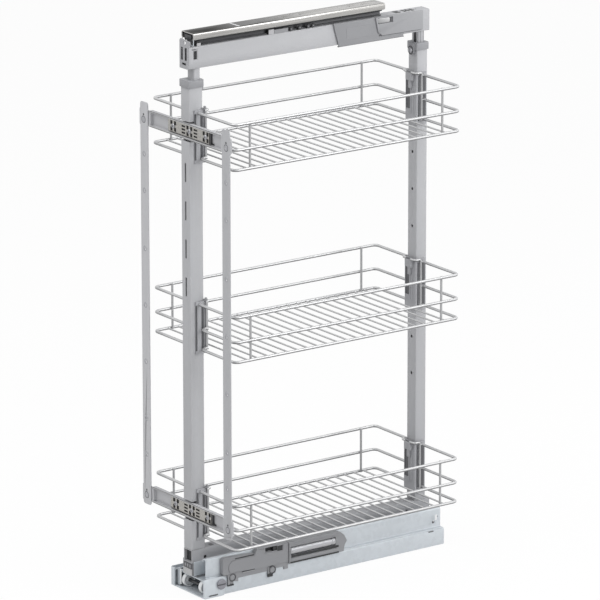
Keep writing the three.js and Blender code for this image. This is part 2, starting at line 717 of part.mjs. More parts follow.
// The rear shoe is fixed under the carriage rail and slides in the middle rail.
function rearShoe() {
  const foot = middleFloor + RAIL_SHEET + CLEARANCE;
  const half = middleHalf - RAIL_SHEET - CLEARANCE;
  const top = middleTop - RAIL_SHEET - CLEARANCE;
  const slot = CARRIAGE_WIDTH / 2 + CLEARANCE;
  const bed = carriageFoot - CLEARANCE;
  const section = polygon([
    [1 - half, foot], [half - 1, foot], [half, foot + 1], [half, top - 3], [half - 3, top],
    [slot, top], [slot, bed], [-slot, bed], [-slot, top], [3 - half, top], [-half, top - 3],
    [-half, foot + 1],
  ]);
  const start = middleRear - REAR_SHOE_SETBACK;
  return extrudeY(section, start, start + REAR_SHOE_LENGTH);
}

function rearAxle() {
  const reach = RAIL_WIDTH / 2 - RAIL_SHEET - CLEARANCE;
  return bar([-reach, rearRollerY, rearRollerZ], [reach, rearRollerY, rearRollerZ], AXLE_RADIUS, 10);
}

// ---------------------------------------------------------------- carriage, bottom beam and uprights

// A box section whose side walls run on up past the underside of the beam.
function carriageRail() {
  const half = CARRIAGE_WIDTH / 2;
  const box = tube(
    extrudeY, [-half, half, carriageFoot, carriageTop], CARRIAGE_WALL, 1, carriageFront, middleRear);
  const clip = BEAM_SIZE / 2 + CLEARANCE;
  const walls = [-1, 1].map((side) => block(
    Math.min(side * clip, side * half), Math.max(side * clip, side * half),
    carriageFront, middleRear, carriageTop - CARRIAGE_WALL, BEAM_HEIGHT + CARRIAGE_RISE));
  return join(box, ...walls);
}

function carriageCap() {
  const half = CARRIAGE_WIDTH / 2;
  const front = carriageFront - CLEARANCE;
  const face = extrudeY(roundRect(-half, half, carriageFoot, carriageTop, 1), front - 1.5, front, 1);
  const inset = CARRIAGE_WALL + CLEARANCE;
  const plug = block(
    -half + inset, half - inset, front - 0.5, front + 8, carriageFoot + inset, carriageTop - inset);
  const ribs = [-6, 0, 6].map((x) => block(
    x - 1, x + 1, front - 2.2, front, carriageFoot + 3, carriageTop - 3));
  return join(face, plug, ...ribs);
}

function bottomBeam() {
  const half = BEAM_SIZE / 2;
  const body = tube(
    extrudeY, [-half, half, BEAM_HEIGHT, beamTop], BEAM_WALL, 1.5,
    frontOuter, rearOuter + BEAM_REAR_OVERHANG);
  const mouths = [frontOuter + 27, rearInner - 18].map(
    (y) => bar([half - BEAM_WALL - 1, y, BEAM_HEIGHT + 8], [half + 1, y, BEAM_HEIGHT + 8], 3, 10));
  return cut(body, ...mouths);
}

function channelNotch(depth) {
  const half = CHANNEL_HEIGHT / 2 + NOTCH_GAP;
  return CHANNEL_HEIGHTS.map((height) => block(
    -UPRIGHT_WIDTH, UPRIGHT_WIDTH, frontOuter - 1, frontOuter + depth, height - half, height + half));
}

// The front upright has a row of slots, and two notches that let the door channels in flush.
function frontUpright() {
  const half = UPRIGHT_WIDTH / 2;
  const body = tube(
    extrudeZ, [-half, half, frontOuter, frontInner], UPRIGHT_WALL, 2, uprightFoot, uprightTop);
  const slots = Array.from({ length: SLOT_COUNT }, (_, i) => {
    const top = uprightTop - SLOT_TOP - i * SLOT_PITCH;
    return block(
      -SLOT_WIDTH / 2, SLOT_WIDTH / 2, frontOuter - 1, frontOuter + UPRIGHT_WALL + 1, top - SLOT_LENGTH, top);
  });
  const screw = bar(
    [0, frontInner - UPRIGHT_WALL - 1, clampZ], [0, frontInner + 1, clampZ],
    CLAMP_SHANK_RADIUS + CLEARANCE, 8);
  return cut(body, ...slots, ...channelNotch(notchDepth), screw);
}

// The rear upright has a row of round holes on its inner face.
function rearUpright() {
  const half = UPRIGHT_WIDTH / 2;
  const body = tube(
    extrudeZ, [-half, half, rearInner, rearOuter], UPRIGHT_WALL, 2, uprightFoot, uprightTop);
  const holes = Array.from({ length: HOLE_COUNT }, (_, i) => {
    const z = uprightTop - HOLE_TOP - i * SLOT_PITCH;
    return bar([0, rearInner - 1, z], [0, rearInner + UPRIGHT_WALL + 1, z], HOLE_RADIUS, 6);
  });
  const screw = bar(
    [0, rearInner - 1, clampZ], [0, rearInner + UPRIGHT_WALL + 1, clampZ],
    CLAMP_SHANK_RADIUS + CLEARANCE, 8);
  return cut(body, ...holes, screw);
}

// ---------------------------------------------------------------- collars and clamp screws

const clampZ = collarTop - COLLAR_TAB_DROP;

// A collar for an upright whose inner face is at Y = 0 and whose depth runs towards -Y.
function collar(depth, postSetback) {
  const half = UPRIGHT_WIDTH / 2 + COLLAR_RIM;
  const foot = uprightTop - COLLAR_GRIP;
  const outer = extrudeZ(roundRect(-half, half, -depth - COLLAR_RIM, COLLAR_RIM, 2.5), foot, collarTop);
  const grip = UPRIGHT_WIDTH / 2 + CLEARANCE;
  const seat = block(
    -grip, grip, -depth - CLEARANCE, CLEARANCE, foot - 1, uprightTop + CLEARANCE);
  const postHalf = POST_WIDTH / 2 + CLEARANCE;
  const throat = block(
    -postHalf, postHalf, -postSetback - POST_DEPTH - CLEARANCE, -postSetback + CLEARANCE,
    foot - 1, collarTop + 1);
  const tabShape = new THREE.Shape();
  tabShape.moveTo(-COLLAR_TAB_RADIUS, collarTop - 1);
  tabShape.lineTo(-COLLAR_TAB_RADIUS, clampZ);
  tabShape.absarc(0, clampZ, COLLAR_TAB_RADIUS, Math.PI, 2 * Math.PI);
  tabShape.lineTo(COLLAR_TAB_RADIUS, collarTop - 1);
  const tab = extrudeY(tabShape, CLEARANCE, COLLAR_RIM + 2.5, 4);
  const hole = bar([0, -5, clampZ], [0, COLLAR_RIM + 4, clampZ], CLAMP_SHANK_RADIUS + CLEARANCE, 8);
  const mouth = bar([0, COLLAR_RIM + 1.1, clampZ], [0, COLLAR_RIM + 4, clampZ], CLAMP_HEAD_RADIUS + 0.8, 12);
  return cut(join(outer, tab), seat, throat, hole, mouth);
}

// A clamp screw for the same upright, its head sunk in the collar's tab.
function clampScrew() {
  const base = COLLAR_RIM + 1.1 + CLEARANCE;
  const head = bar([0, base, clampZ], [0, base + 3, clampZ], CLAMP_HEAD_RADIUS, 12);
  const shank = bar([0, -UPRIGHT_WALL - 0.5, clampZ], [0, base + 1, clampZ], CLAMP_SHANK_RADIUS, 8);
  const slot = block(-0.8, 0.8, base + 1.6, base + 4, clampZ - 9, clampZ + 9);
  return cut(join(head, shank), slot);
}

// ---------------------------------------------------------------- inner posts

// An inner post for the same upright: a C-section whose slot faces the clamp screw.
function innerPost(postSetback) {
  const half = POST_WIDTH / 2 - POST_WALL / 2;
  const near = -postSetback - POST_WALL / 2;
  const far = -postSetback - POST_DEPTH + POST_WALL / 2;
  const slot = POST_SLOT / 2;
  const section = foldedSheet(
    [[slot, near], [half, near], [half, far], [-half, far], [-half, near], [-slot, near]], POST_WALL, 1.2, 1);
  const foot = collarTop - POST_INSERTION;
  return extrudeZ(section, foot, topBeamFoot - CLEARANCE);
}

// ---------------------------------------------------------------- baskets

const rimX = BASKET_WIDTH / 2;
const rimY = FRAME_OPENING / 2 + BASKET_OVERLAP;
const hookX = UPRIGHT_WIDTH / 2 + BRACKET_WALL + RIM_RADIUS + 2 * CLEARANCE;
const hookY = rearInner - BRACKET_NOSE - RIM_RADIUS - 1;
const rodY = hookY + HOOK_BEND + 1;

// Half of a rim on the side given by 1 or -1. Its ends turn in along the brackets to the hook rods.
function halfRim(side, z) {
  const rodX = side * hookX;
  const outX = side * rimX;
  const endY = rodY - STAY_RADIUS;
  return bentWire(
    [[rodX, -endY, z], [rodX, -rimY, z], [outX, -rimY, z], [outX, rimY, z], [rodX, rimY, z], [rodX, endY, z]],
    RIM_RADIUS, [END_BEND, RIM_CORNER, RIM_CORNER, END_BEND]);
}

// Half of the top rim, whose ends hook round the inner faces of the brackets and meet at X = 0.
function halfTopRim(side, z) {
  const rodX = side * hookX;
  const outX = side * rimX;
  const end = -side * 0.5;
  return bentWire([
    [end, -hookY, z], [rodX, -hookY, z], [rodX, -rimY, z], [outX, -rimY, z],
    [outX, rimY, z], [rodX, rimY, z], [rodX, hookY, z], [end, hookY, z],
  ], RIM_RADIUS, [HOOK_BEND, END_BEND, RIM_CORNER, RIM_CORNER, END_BEND, HOOK_BEND]);
}

// The rims above the floor, tied by four stays at the long sides and by the four hook rods.
function basketSides() {
  const foot = RIM_RADIUS + CLEARANCE;
  const wires = [];
  [-1, 1].forEach((side) => {
    wires.push(halfTopRim(side, TOP_RIM_RISE), halfRim(side, MID_RIM_RISE));
    [-1, 1].forEach((end) => {
      const stayX = side * (rimX - (RIM_RADIUS + STAY_RADIUS) * WIRE_FLAT + WELD);
      const stayY = end * STAY_OFFSET;
      const top = TOP_RIM_RISE + 1;
      wires.push(bar([stayX, stayY, foot], [stayX, stayY, top], STAY_RADIUS, 6));
      const rodX = side * hookX;
      wires.push(bar([rodX, end * rodY, foot], [rodX, end * rodY, TOP_RIM_RISE], STAY_RADIUS, 5));
    });
  });
  return join(...wires);
}

// The floor: the bottom rim and the cross wires welded between its long sides.
function basketFloor() {
  const wires = [halfRim(-1, 0), halfRim(1, 0)];
  const first = -((FLOOR_WIRE_COUNT - 1) / 2) * FLOOR_WIRE_PITCH;
  for (let i = 0; i < FLOOR_WIRE_COUNT; i += 1) {
    const y = first + i * FLOOR_WIRE_PITCH;
    wires.push(bar([-rimX + 1, y, -0.13], [rimX - 1, y, -0.13], FLOOR_WIRE_RADIUS, 5));
  }
  return join(...wires);
}

// A bracket for an upright whose inner face is at Y = 0 and whose depth runs towards -Y: two side
// plates and a nose round the inner half of the upright, with a cradle for the top rim's jog.
function basketBracket() {
  const half = UPRIGHT_WIDTH / 2 + CLEARANCE;
  const foot = -BRACKET_BELOW;
  const top = TOP_RIM_RISE + BRACKET_ABOVE;
  const rimLevel = TOP_RIM_RISE - RIM_RADIUS - CLEARANCE;
  const outer = half + BRACKET_WALL;
  const section = foldedSheet([
    [-half - BRACKET_WALL / 2, -BRACKET_DEPTH], [-half - BRACKET_WALL / 2, CLEARANCE + BRACKET_NOSE / 2],
    [half + BRACKET_WALL / 2, CLEARANCE + BRACKET_NOSE / 2], [half + BRACKET_WALL / 2, -BRACKET_DEPTH],
  ], BRACKET_WALL, 1.6, 1);
  const body = extrudeZ(section, foot, top);
  const nose = block(-half + 3, half - 3, CLEARANCE, BRACKET_NOSE, foot, top);
  const cradle = block(
    -outer + 2, outer - 2, BRACKET_NOSE - 1, BRACKET_NOSE + 2 * RIM_RADIUS + 3, rimLevel - 8, rimLevel);
  const ramp = extrudeX(polygon([
    [BRACKET_NOSE - 1, rimLevel - 22], [BRACKET_NOSE + 2 * RIM_RADIUS + 3, rimLevel - 7],
    [BRACKET_NOSE + 2 * RIM_RADIUS + 3, rimLevel - 6], [BRACKET_NOSE - 1, rimLevel - 6],
  ]), -4, 4);
  const window = [-1, 1].map((side) => block(
    Math.min(side * (half - 1), side * (outer + 1)), Math.max(side * (half - 1), side * (outer + 1)),
    -5, -1.5, 14, rimLevel - 12));
  return cut(join(body, nose, cradle, ramp), ...window);
}

// ---------------------------------------------------------------- door mount

const channelBack = frontOuter + CHANNEL_DEPTH;

// A channel open to the front, with an end tab each side for the strips and a window behind the plate.
function doorChannel(height) {
  const half = CHANNEL_HEIGHT / 2;
  const sheet = CHANNEL_SHEET;
  const front = frontOuter;
  const section = foldedSheet([
    [front, height - half + sheet / 2], [channelBack - sheet / 2, height - half + sheet / 2],
    [channelBack - sheet / 2, height + half - sheet / 2], [front, height + half - sheet / 2],
  ], sheet, 1.5);
  const length = CHANNEL_LENGTH / 2;
  const body = extrudeX(section, -length, length);
  const windowHalf = PLATE_BOSS / 2 + DOOR_ADJUST + 1;
  const bossHalf = PLATE_BOSS_HEIGHT / 2 + 1;
  const window = block(
    -windowHalf, windowHalf, channelBack - sheet - 1, channelBack + 1, height - bossHalf, height + bossHalf);
  const tabs = [-1, 1].map((side) => {
    const inner = side * (length - 1);
    const outer = side * (length + TAB_LENGTH);
    const tabFront = front + 0.8;
    const web = block(
      Math.min(inner, side * (length + sheet)), Math.max(inner, side * (length + sheet)),
      tabFront, channelBack, height - half + 1, height + half - 1);
    const face = extrudeY(roundRect(
      Math.min(inner, outer), Math.max(inner, outer), height - half + 1, height + half - 1, 3,
    ), tabFront, tabFront + sheet, 1);
    return join(web, face);
  });
  return cut(join(body, ...tabs), window);
}

// The chrome plate clamps the channel to the upright and lets it slide sideways.
function adjustingPlate(height) {
  const half = PLATE_HEIGHT / 2;
  const rear = channelBack - CHANNEL_SHEET - CLEARANCE;
  const front = rear - PLATE_THICKNESS;
  const face = extrudeY(
    roundRect(PLATE_START, PLATE_START + PLATE_LENGTH, height - half, height + half, 2), front, rear, 1);
  const bossHalf = PLATE_BOSS_HEIGHT / 2;
  const boss = block(
    -PLATE_BOSS / 2, PLATE_BOSS / 2, rear - 1, channelBack, height - bossHalf, height + bossHalf);
  const middle = PLATE_START + PLATE_LENGTH / 2;
  const bolts = [-1, 0, 1].map((i) => {
    const x = middle + 2.5 + i * BOLT_PITCH;
    return bar([x, front - 1.8, height], [x, front + 0.5, height], 4.6, 6);
  });
  const sideCuts = [-1, 1].map((i) => {
    const x = middle + 2.5 + i * BOLT_PITCH / 2;
    return block(x - 2, x + 2, front - 1, rear + 0.5, height - 5, height + 5);
  });
  return join(cut(face, ...sideCuts), boss, ...bolts);
}

// A thin plate across the back of the notch, which the adjusting plate is bolted to.
function doorCarrier(height) {
  const half = UPRIGHT_WIDTH / 2;
  const front = channelBack + CLEARANCE;
  const reach = CHANNEL_HEIGHT / 2;
  return block(-half, half, front, front + CARRIER_THICKNESS, height - reach, height + reach);
}

const stripRear = frontOuter + 0.8 - CLEARANCE;

// A long strip with eased ends, a lug on its outer side at each channel and a row of fixing holes.
function doorStrip(side) {
  const x = side * STRIP_OFFSET;
  const inner = x - side * (STRIP_WIDTH / 2);
  const outer = x + side * (STRIP_WIDTH / 2);
  const lug = x + side * STRIP_LUG_REACH;
  const ease = side * STRIP_END_RADIUS;
  const flare = STRIP_LUG_REACH - STRIP_WIDTH / 2;
  const [low, high] = CHANNEL_HEIGHTS;
  const middle = (low + high) / 2;
  const top = high + STRIP_TOP_RUN;
  const foot = low - STRIP_FOOT_RUN;
  const lugHalf = STRIP_LUG_LENGTH / 2;
  const shape = new THREE.Shape();
  shape.moveTo(inner, foot + STRIP_END_RADIUS);
  shape.lineTo(inner, top - STRIP_END_RADIUS);
  shape.quadraticCurveTo(inner, top, inner + ease, top);
  shape.lineTo(outer - ease, top);
  shape.quadraticCurveTo(outer, top, outer, top - STRIP_END_RADIUS);
  [high, low].forEach((height) => {
    shape.lineTo(outer, height + lugHalf + flare);
    shape.lineTo(lug, height + lugHalf);
    shape.lineTo(lug, height - lugHalf);
    shape.lineTo(outer, height - lugHalf - flare);
  });
  shape.lineTo(outer, foot + STRIP_END_RADIUS);
  shape.quadraticCurveTo(outer, foot, outer - ease, foot);
  shape.lineTo(inner + ease, foot);
  shape.quadraticCurveTo(inner, foot, inner, foot + STRIP_END_RADIUS);
  const body = extrudeY(shape, stripRear - STRIP_THICKNESS, stripRear, 3);
  const holes = STRIP_HOLES.map((rise) => bar(
    [x, stripRear - STRIP_THICKNESS - 1, middle + rise], [x, stripRear + 1, middle + rise],
    STRIP_HOLE_RADIUS, 6));
  return cut(body, ...holes);
}

// ---------------------------------------------------------------- top beam and its mouldings

const topFront = frontOuter;
const topRear = rearOuter + TOP_BEAM_REAR;

function topBeam() {
  const half = BEAM_SIZE / 2;
  const body = tube(
    extrudeY, [-half, half, topBeamFoot, topBeamTop], TOP_BEAM_WALL, 1.5, topFront, topRear);
  const window = block(
    half - TOP_BEAM_WALL - 1, half + 1, topFront + 7, topFront + 18, topBeamTop - 23, topBeamTop - 3);
  const slots = [0, 1, 2].map((i) => block(
    -2, 2, topRear - 60 + i * 16, topRear - 51 + i * 16, topBeamTop - TOP_BEAM_WALL - 1, topBeamTop + 1));
  return cut(body, window, ...slots);
}

function topFrontCap() {
  const half = BEAM_SIZE / 2;
  const rear = topFront - CLEARANCE;
  const top = topBeamTop + FRONT_CAP_RISE;
  const outline = polygon([
    [-half, topBeamFoot], [half, topBeamFoot], [half, topBeamTop], [half + 6, topBeamTop + 3],
    [half + 6, top - 2], [-half + 3, top], [-half, top - 3],
  ]);
  const plate = extrudeY(outline, rear - FRONT_CAP_THICKNESS, rear);
  const cuts = [
    [-5.5, -2.5, topBeamTop - 21, topBeamTop - 0.5], [3.5, 6.5, topBeamTop - 21, topBeamTop - 0.5],
    [-6, 5, topBeamFoot + 6, topBeamFoot + 9], [-7, 0, topBeamTop + 4, topBeamTop + 9],
  ].map(([x0, x1, z0, z1]) => block(x0, x1, rear - FRONT_CAP_THICKNESS - 1, rear + 1, z0, z1));
  return cut(plate, ...cuts);
}

const coverInner = BEAM_SIZE / 2 + CLEARANCE;
const coverOuter = coverInner + COVER_THICKNESS;

function topDamperCover() {
  const front = topFront + COVER_START;
  const rear = front + COVER_LENGTH;
  const foot = topBeamFoot - 2.5;
  const step = rear - COVER_TAIL;
  return extrudeX(polygon([
    [front, topBeamTop + 1.2], [front + 11.6, foot], [step, foot], [step + 2, topBeamFoot + 4],
    [rear, topBeamFoot + 5], [rear, topBeamTop],
  ]), coverInner, coverOuter);
}

const latchFront = topFront + LATCH_START;
const latchInner = coverOuter + CLEARANCE;
const latchOuter = latchInner + LATCH_THICKNESS;

function topLatchCover() {
  const rear = topFront + COVER_START + COVER_LENGTH;
  const foot = topBeamFoot + 5.5;
  const shape = new THREE.Shape();
  shape.moveTo(latchFront, topBeamTop + 0.8);
  shape.lineTo(latchFront + 6, foot + 6);
  shape.quadraticCurveTo(latchFront + 8, foot, latchFront + 14, foot);
  shape.lineTo(rear, foot);
  shape.lineTo(rear, topBeamTop);
  const window = block(
    latchInner - 1, latchOuter + 1, latchFront + 5, latchFront + 36, topBeamTop - 11, topBeamTop - 1.5);
  return cut(extrudeX(shape, latchInner, latchOuter), window);
}

function topLatch() {
  return extrudeX(
    roundRect(latchFront + 5.5, latchFront + 30, topBeamTop - 10.5, topBeamTop - 2, 2),
    latchInner, latchOuter - 0.8, 1);
}

// ---------------------------------------------------------------- telescopic top slide

const slideFoot = topBeamTop + SLIDE_STANDOFF;
const slideTop = slideFoot + SLIDE_HEIGHT;
const slideFront = topFront + SLIDE_SETBACK;
const slideRear = slideFront + SLIDE_LENGTH;
const middleSlideTop = slideTop - SLIDE_SHEET - CLEARANCE;
const middleSlideFoot = middleSlideTop - MIDDLE_SLIDE_HEIGHT;

// The outer member: a C-section open downwards, screwed under the cabinet top.
function topFixedRail() {
  const half = SLIDE_WIDTH / 2 - SLIDE_SHEET / 2;
  const foot = slideFoot + SLIDE_SHEET / 2;
  const top = slideTop - SLIDE_SHEET / 2;
  const lip = SLIDE_WIDTH / 2 - SLIDE_LIP;
  const section = foldedSheet(
    [[-lip, foot], [-half, foot], [-half, top], [half, top], [half, foot], [lip, foot]], SLIDE_SHEET, 2.2);
  const holes = [193, 227, 328, 355].map(
    (run) => bar([0, slideFront + run, slideTop - 3], [0, slideFront + run, slideTop + 1], 2.6, 6));
  return cut(extrudeY(section, slideFront, slideRear), ...holes);
}

// The middle member hangs in the fixed one and wraps the head of the inner one.
function topMiddleRail() {
  const half = MIDDLE_SLIDE_WIDTH / 2 - SLIDE_SHEET / 2;
  const foot = middleSlideFoot + SLIDE_SHEET / 2;
  const top = middleSlideTop - SLIDE_SHEET / 2;
  const lip = MIDDLE_SLIDE_WIDTH / 2 - 4;
  const section = foldedSheet(
    [[-lip, foot], [-half, foot], [-half, top], [half, top], [half, foot], [lip, foot]], SLIDE_SHEET, 1.6, 1);
  return extrudeY(section, slideFront + 2, slideRear - 2);
}

// The inner member stands on the top beam: a foot, a web and a head inside the middle member.
function topInnerRail() {
  const foot = topBeamTop + CLEARANCE;
  const half = INNER_SLIDE_WIDTH / 2;
  const head = MIDDLE_SLIDE_WIDTH / 2 - SLIDE_SHEET - 1.2;
  const headFoot = middleSlideFoot + SLIDE_SHEET + 1.5;
  const headTop = middleSlideTop - SLIDE_SHEET - 1.2;
  const web = 4;
  const section = polygon([
    [-half, foot], [half, foot], [half, foot + 2], [web, foot + 2], [web, headFoot], [head, headFoot],
    [head, headTop], [-head, headTop], [-head, headFoot], [-web, headFoot], [-web, foot + 2],
    [-half, foot + 2],
  ]);
  return extrudeY(section, slideFront + 1, slideRear - 1);
}

// A strip that keeps a row of balls spaced between the fixed and the middle member.
function ballCage(side) {
  const inner = MIDDLE_SLIDE_WIDTH / 2;
  const outer = SLIDE_WIDTH / 2 - SLIDE_SHEET;
  const x = (side * (inner + outer)) / 2;
  const z = (slideFoot + SLIDE_SHEET + slideTop - SLIDE_SHEET) / 2;
  const start = slideFront + 20;
  const length = SLIDE_LENGTH * 0.5;
  const strip = block(x - 0.6, x + 0.6, start, start + length, z - 2.6, z + 2.6);
  const pitch = length / BALL_COUNT;
  const balls = Array.from({ length: BALL_COUNT }, (_, i) => {
    const ball = new THREE.SphereGeometry(BALL_RADIUS, 6, 3);
    ball.translate(x, start + (i + 0.5) * pitch, z);
    return toSolid(ball);
  });
  return join(strip, ...balls);
}

// ---------------------------------------------------------------- assembly

const unit = new THREE.Group();

const cabinetSide = new THREE.Group();
cabinetSide.add(
  piece('base_rail', baseRail(), galvanised),
  piece('side_guide_rail', sideGuideRail(), galvanised),
  piece('roller_cheek_near', nearCheek(), galvanised),
  piece('roller_cheek_far', farCheek(), galvanised),
  piece('front_roller_axle', frontAxle(), screwSteel),
  piece('adjusting_screw', cheekScrew(), screwSteel),
  piece('soft_close_housing', housing(), mouldedGrey),
  piece('soft_close_catch', softCloseCatch(), blackPlastic),
  piece('damper_cradle', damperCradle(), mouldedGrey),
  piece('damper_cylinder', damperCylinder(), chrome),
);
Object.entries(FRONT_ROLLER_OFFSETS).forEach(([name, offset]) => {
  cabinetSide.add(piece(
    `front_roller_${name}`,
    roller(offset, FRONT_ROLLER_RADIUS, FRONT_ROLLER_WIDTH, frontRollerY, frontRollerZ, 0.8),
    rollerWhite));
});

const middleRunner = new THREE.Group();
middleRunner.add(
  piece('middle_rail', middleRail(), galvanised),
  piece('front_glide_shoe', frontShoe(), mouldedGrey),
  piece('rear_roller_axle', rearAxle(), screwSteel),
);
[['left', -1], ['right', 1]].forEach(([name, side]) => {
  middleRunner.add(piece(
    `rear_roller_${name}`,
    roller(
      side * (rearRollerOuter - REAR_ROLLER_WIDTH / 2), rearRollerRadius, REAR_ROLLER_WIDTH,
      rearRollerY, rearRollerZ, 0),
    rollerWhite));
});

const frame = new THREE.Group();
frame.add(
  piece('carriage_rail', carriageRail(), galvanised),
  piece('carriage_end_cap', carriageCap(), mouldedGrey),
  piece('rear_glide_shoe', rearShoe(), rollerWhite),
  piece('bottom_beam', bottomBeam(), satinGrey),
  piece('front_upright', frontUpright(), satinGrey),
  piece('rear_upright', rearUpright(), satinGrey),
);

// What repeats at both uprights is drawn at the origin and set at the inner face of each.
const postSetbacks = { front: 2.3, rear: 4.3 };
[['front', frontInner, 0, FRONT_UPRIGHT_DEPTH], ['rear', rearInner, Math.PI, REAR_UPRIGHT_DEPTH]].forEach(
  ([name, y, turn, depth]) => {
    const place = new THREE.Group();
    place.position.y = y;
    place.rotation.z = turn;
    place.add(
      piece(`${name}_collar`, collar(depth, postSetbacks[name]), mouldedGrey),
      piece(`${name}_clamp_screw`, clampScrew(), screwSteel),
      piece(`${name}_inner_post`, innerPost(postSetbacks[name]), satinGrey),
    );
    BASKET_NAMES.forEach((basket, i) => {
      const bracket = piece(`${basket}_${name}_bracket`, basketBracket(), mouldedGrey);
      bracket.position.z = BASKET_HEIGHTS[i];
      place.add(bracket);
    });
    frame.add(place);
  });

BASKET_NAMES.forEach((name, i) => {
  const basket = new THREE.Group();
  basket.position.z = BASKET_HEIGHTS[i];
  basket.add(
    piece(`${name}_basket_floor`, basketFloor(), wireSilver),
    piece(`${name}_basket_sides`, basketSides(), wireSilver),
  );
  frame.add(basket);
});

const doorMount = new THREE.Group();
['lower', 'upper'].forEach((name, i) => {
  const height = CHANNEL_HEIGHTS[i];
  doorMount.add(
    piece(`${name}_door_channel`, doorChannel(height), satinGrey),
    piece(`${name}_adjusting_plate`, adjustingPlate(height), chrome),
    piece(`${name}_door_carrier`, doorCarrier(height), screwSteel),
  );
});
doorMount.add(
  piece('left_door_strip', doorStrip(-1), satinGrey),
  piece('right_door_strip', doorStrip(1), satinGrey),
);

const topAssembly = new THREE.Group();
topAssembly.add(
  piece('top_beam', topBeam(), satinGrey),
  piece('top_front_cap', topFrontCap(), satinGrey),
  piece('top_damper_cover', topDamperCover(), mouldedGrey),
  piece('top_latch_cover', topLatchCover(), mouldedGrey),
  piece('top_latch', topLatch(), chrome),
  piece('top_inner_rail', topInnerRail(), screwSteel),
  piece('top_middle_rail', topMiddleRail(), screwSteel),
  piece('top_left_ball_cage', ballCage(-1), screwSteel),
  piece('top_right_ball_cage', ballCage(1), screwSteel),
  piece('top_fixed_rail', topFixedRail(), chrome),
);

unit.add(cabinetSide, middleRunner, frame, doorMount, topAssembly);

export default unit;
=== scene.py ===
import json
import logging
import math
from dataclasses import dataclass, field
from enum import Enum
from typing import Iterable, Sequence

import bmesh
import bpy
from mathutils import Matrix, Vector


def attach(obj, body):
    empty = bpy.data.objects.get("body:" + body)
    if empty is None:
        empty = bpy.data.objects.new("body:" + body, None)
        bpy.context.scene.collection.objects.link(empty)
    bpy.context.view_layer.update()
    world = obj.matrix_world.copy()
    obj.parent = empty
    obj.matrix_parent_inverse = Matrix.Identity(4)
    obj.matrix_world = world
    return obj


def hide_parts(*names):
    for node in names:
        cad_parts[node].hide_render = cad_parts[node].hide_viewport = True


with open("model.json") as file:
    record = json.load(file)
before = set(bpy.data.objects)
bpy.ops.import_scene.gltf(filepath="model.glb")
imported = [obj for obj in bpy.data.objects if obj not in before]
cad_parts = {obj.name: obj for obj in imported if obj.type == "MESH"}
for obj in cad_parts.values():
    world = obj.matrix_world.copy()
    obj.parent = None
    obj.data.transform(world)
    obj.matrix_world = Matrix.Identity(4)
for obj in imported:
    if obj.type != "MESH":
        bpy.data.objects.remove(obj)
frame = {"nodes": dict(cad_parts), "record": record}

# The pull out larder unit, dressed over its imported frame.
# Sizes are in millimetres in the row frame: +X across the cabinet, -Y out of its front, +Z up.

MM = 0.001
WIRE_SHARP = math.radians(40)
LOG = logging.getLogger("larder")

Point2 = tuple[float, float]
Point3 = tuple[float, float, float]
Box = tuple[Point3, Point3]
Object = bpy.types.Object
BMesh = bmesh.types.BMesh
Tree = bpy.types.NodeTree
Node = bpy.types.Node
Inputs = dict[str | int, object]
Run = tuple[Node, str | int, Node, str | int]


class Axis(Enum):
    """The direction that a section is extruded or turned along."""

    X = 0
    Y = 1
    Z = 2

    def place(self, run: float, a: float, b: float) -> Vector:
        """The point at a run along the axis and at a and b across it."""
        return Vector({Axis.X: (run, a, b), Axis.Y: (a, run, b), Axis.Z: (a, b, run)}[self])


class Surface(Enum):
    """How a finish varies over its surface."""

    LACQUER = "lacquer"
    ZINC = "zinc"
    DRAWN = "drawn"
    MOULDED = "moulded"
    # Plated finishes also get a painted dark reflection on their upper faces.
    PLATED = "plated"


# ---------------------------------------------------------------- finishes

@dataclass(frozen=True)
class Finish:
    """One finish of the unit.

    Args:
        name: the material's name.
        slot: the record's material slot that it stands for; not used.
        surface: how colour and gloss vary.
        light: lighter sRGB colour, 0 to 1.
        dark: darker sRGB colour, 0 to 1.
        rough: lowest and highest roughness.
        metallic: metallic value of the shader.
        grain: grain cells per metre.
        relief: height of the grain in millimetres.
        coat: weight of a clear coat.
        underside_shade: how much painted shade darkens the faces that look down.
    """

    name: str
    slot: str
    surface: Surface
    light: Point3
    dark: Point3
    rough: Point2
    metallic: float
    grain: float
    relief: float
    coat: float = 0.0
    underside_shade: float = 0.0


SATIN_STEEL = Finish(
    "satin_grey_lacquer", "satin_grey", Surface.LACQUER,
    (0.715, 0.718, 0.728), (0.675, 0.678, 0.690), (0.62, 0.74), 0.2, 900.0, 0.008)
# A lighter copy of the satin lacquer: on the left door strip it paints more light than the right strip gets,
# and the door channels take it for their paler tone.
PALE_AND_LIT_STEEL = Finish(
    "pale_grey_lacquer", "satin_grey", Surface.LACQUER,
    (0.755, 0.757, 0.768), (0.725, 0.727, 0.738), (0.56, 0.68), 0.2, 900.0, 0.008)
# A darker copy of the satin lacquer that paints shade on the bottom beam under the baskets and on the top
# beam's front plate.
SHADED_STEEL = Finish(
    "floor_beam_lacquer", "satin_grey", Surface.LACQUER,
    (0.665, 0.668, 0.68), (0.63, 0.633, 0.645), (0.62, 0.74), 0.2, 900.0, 0.008)
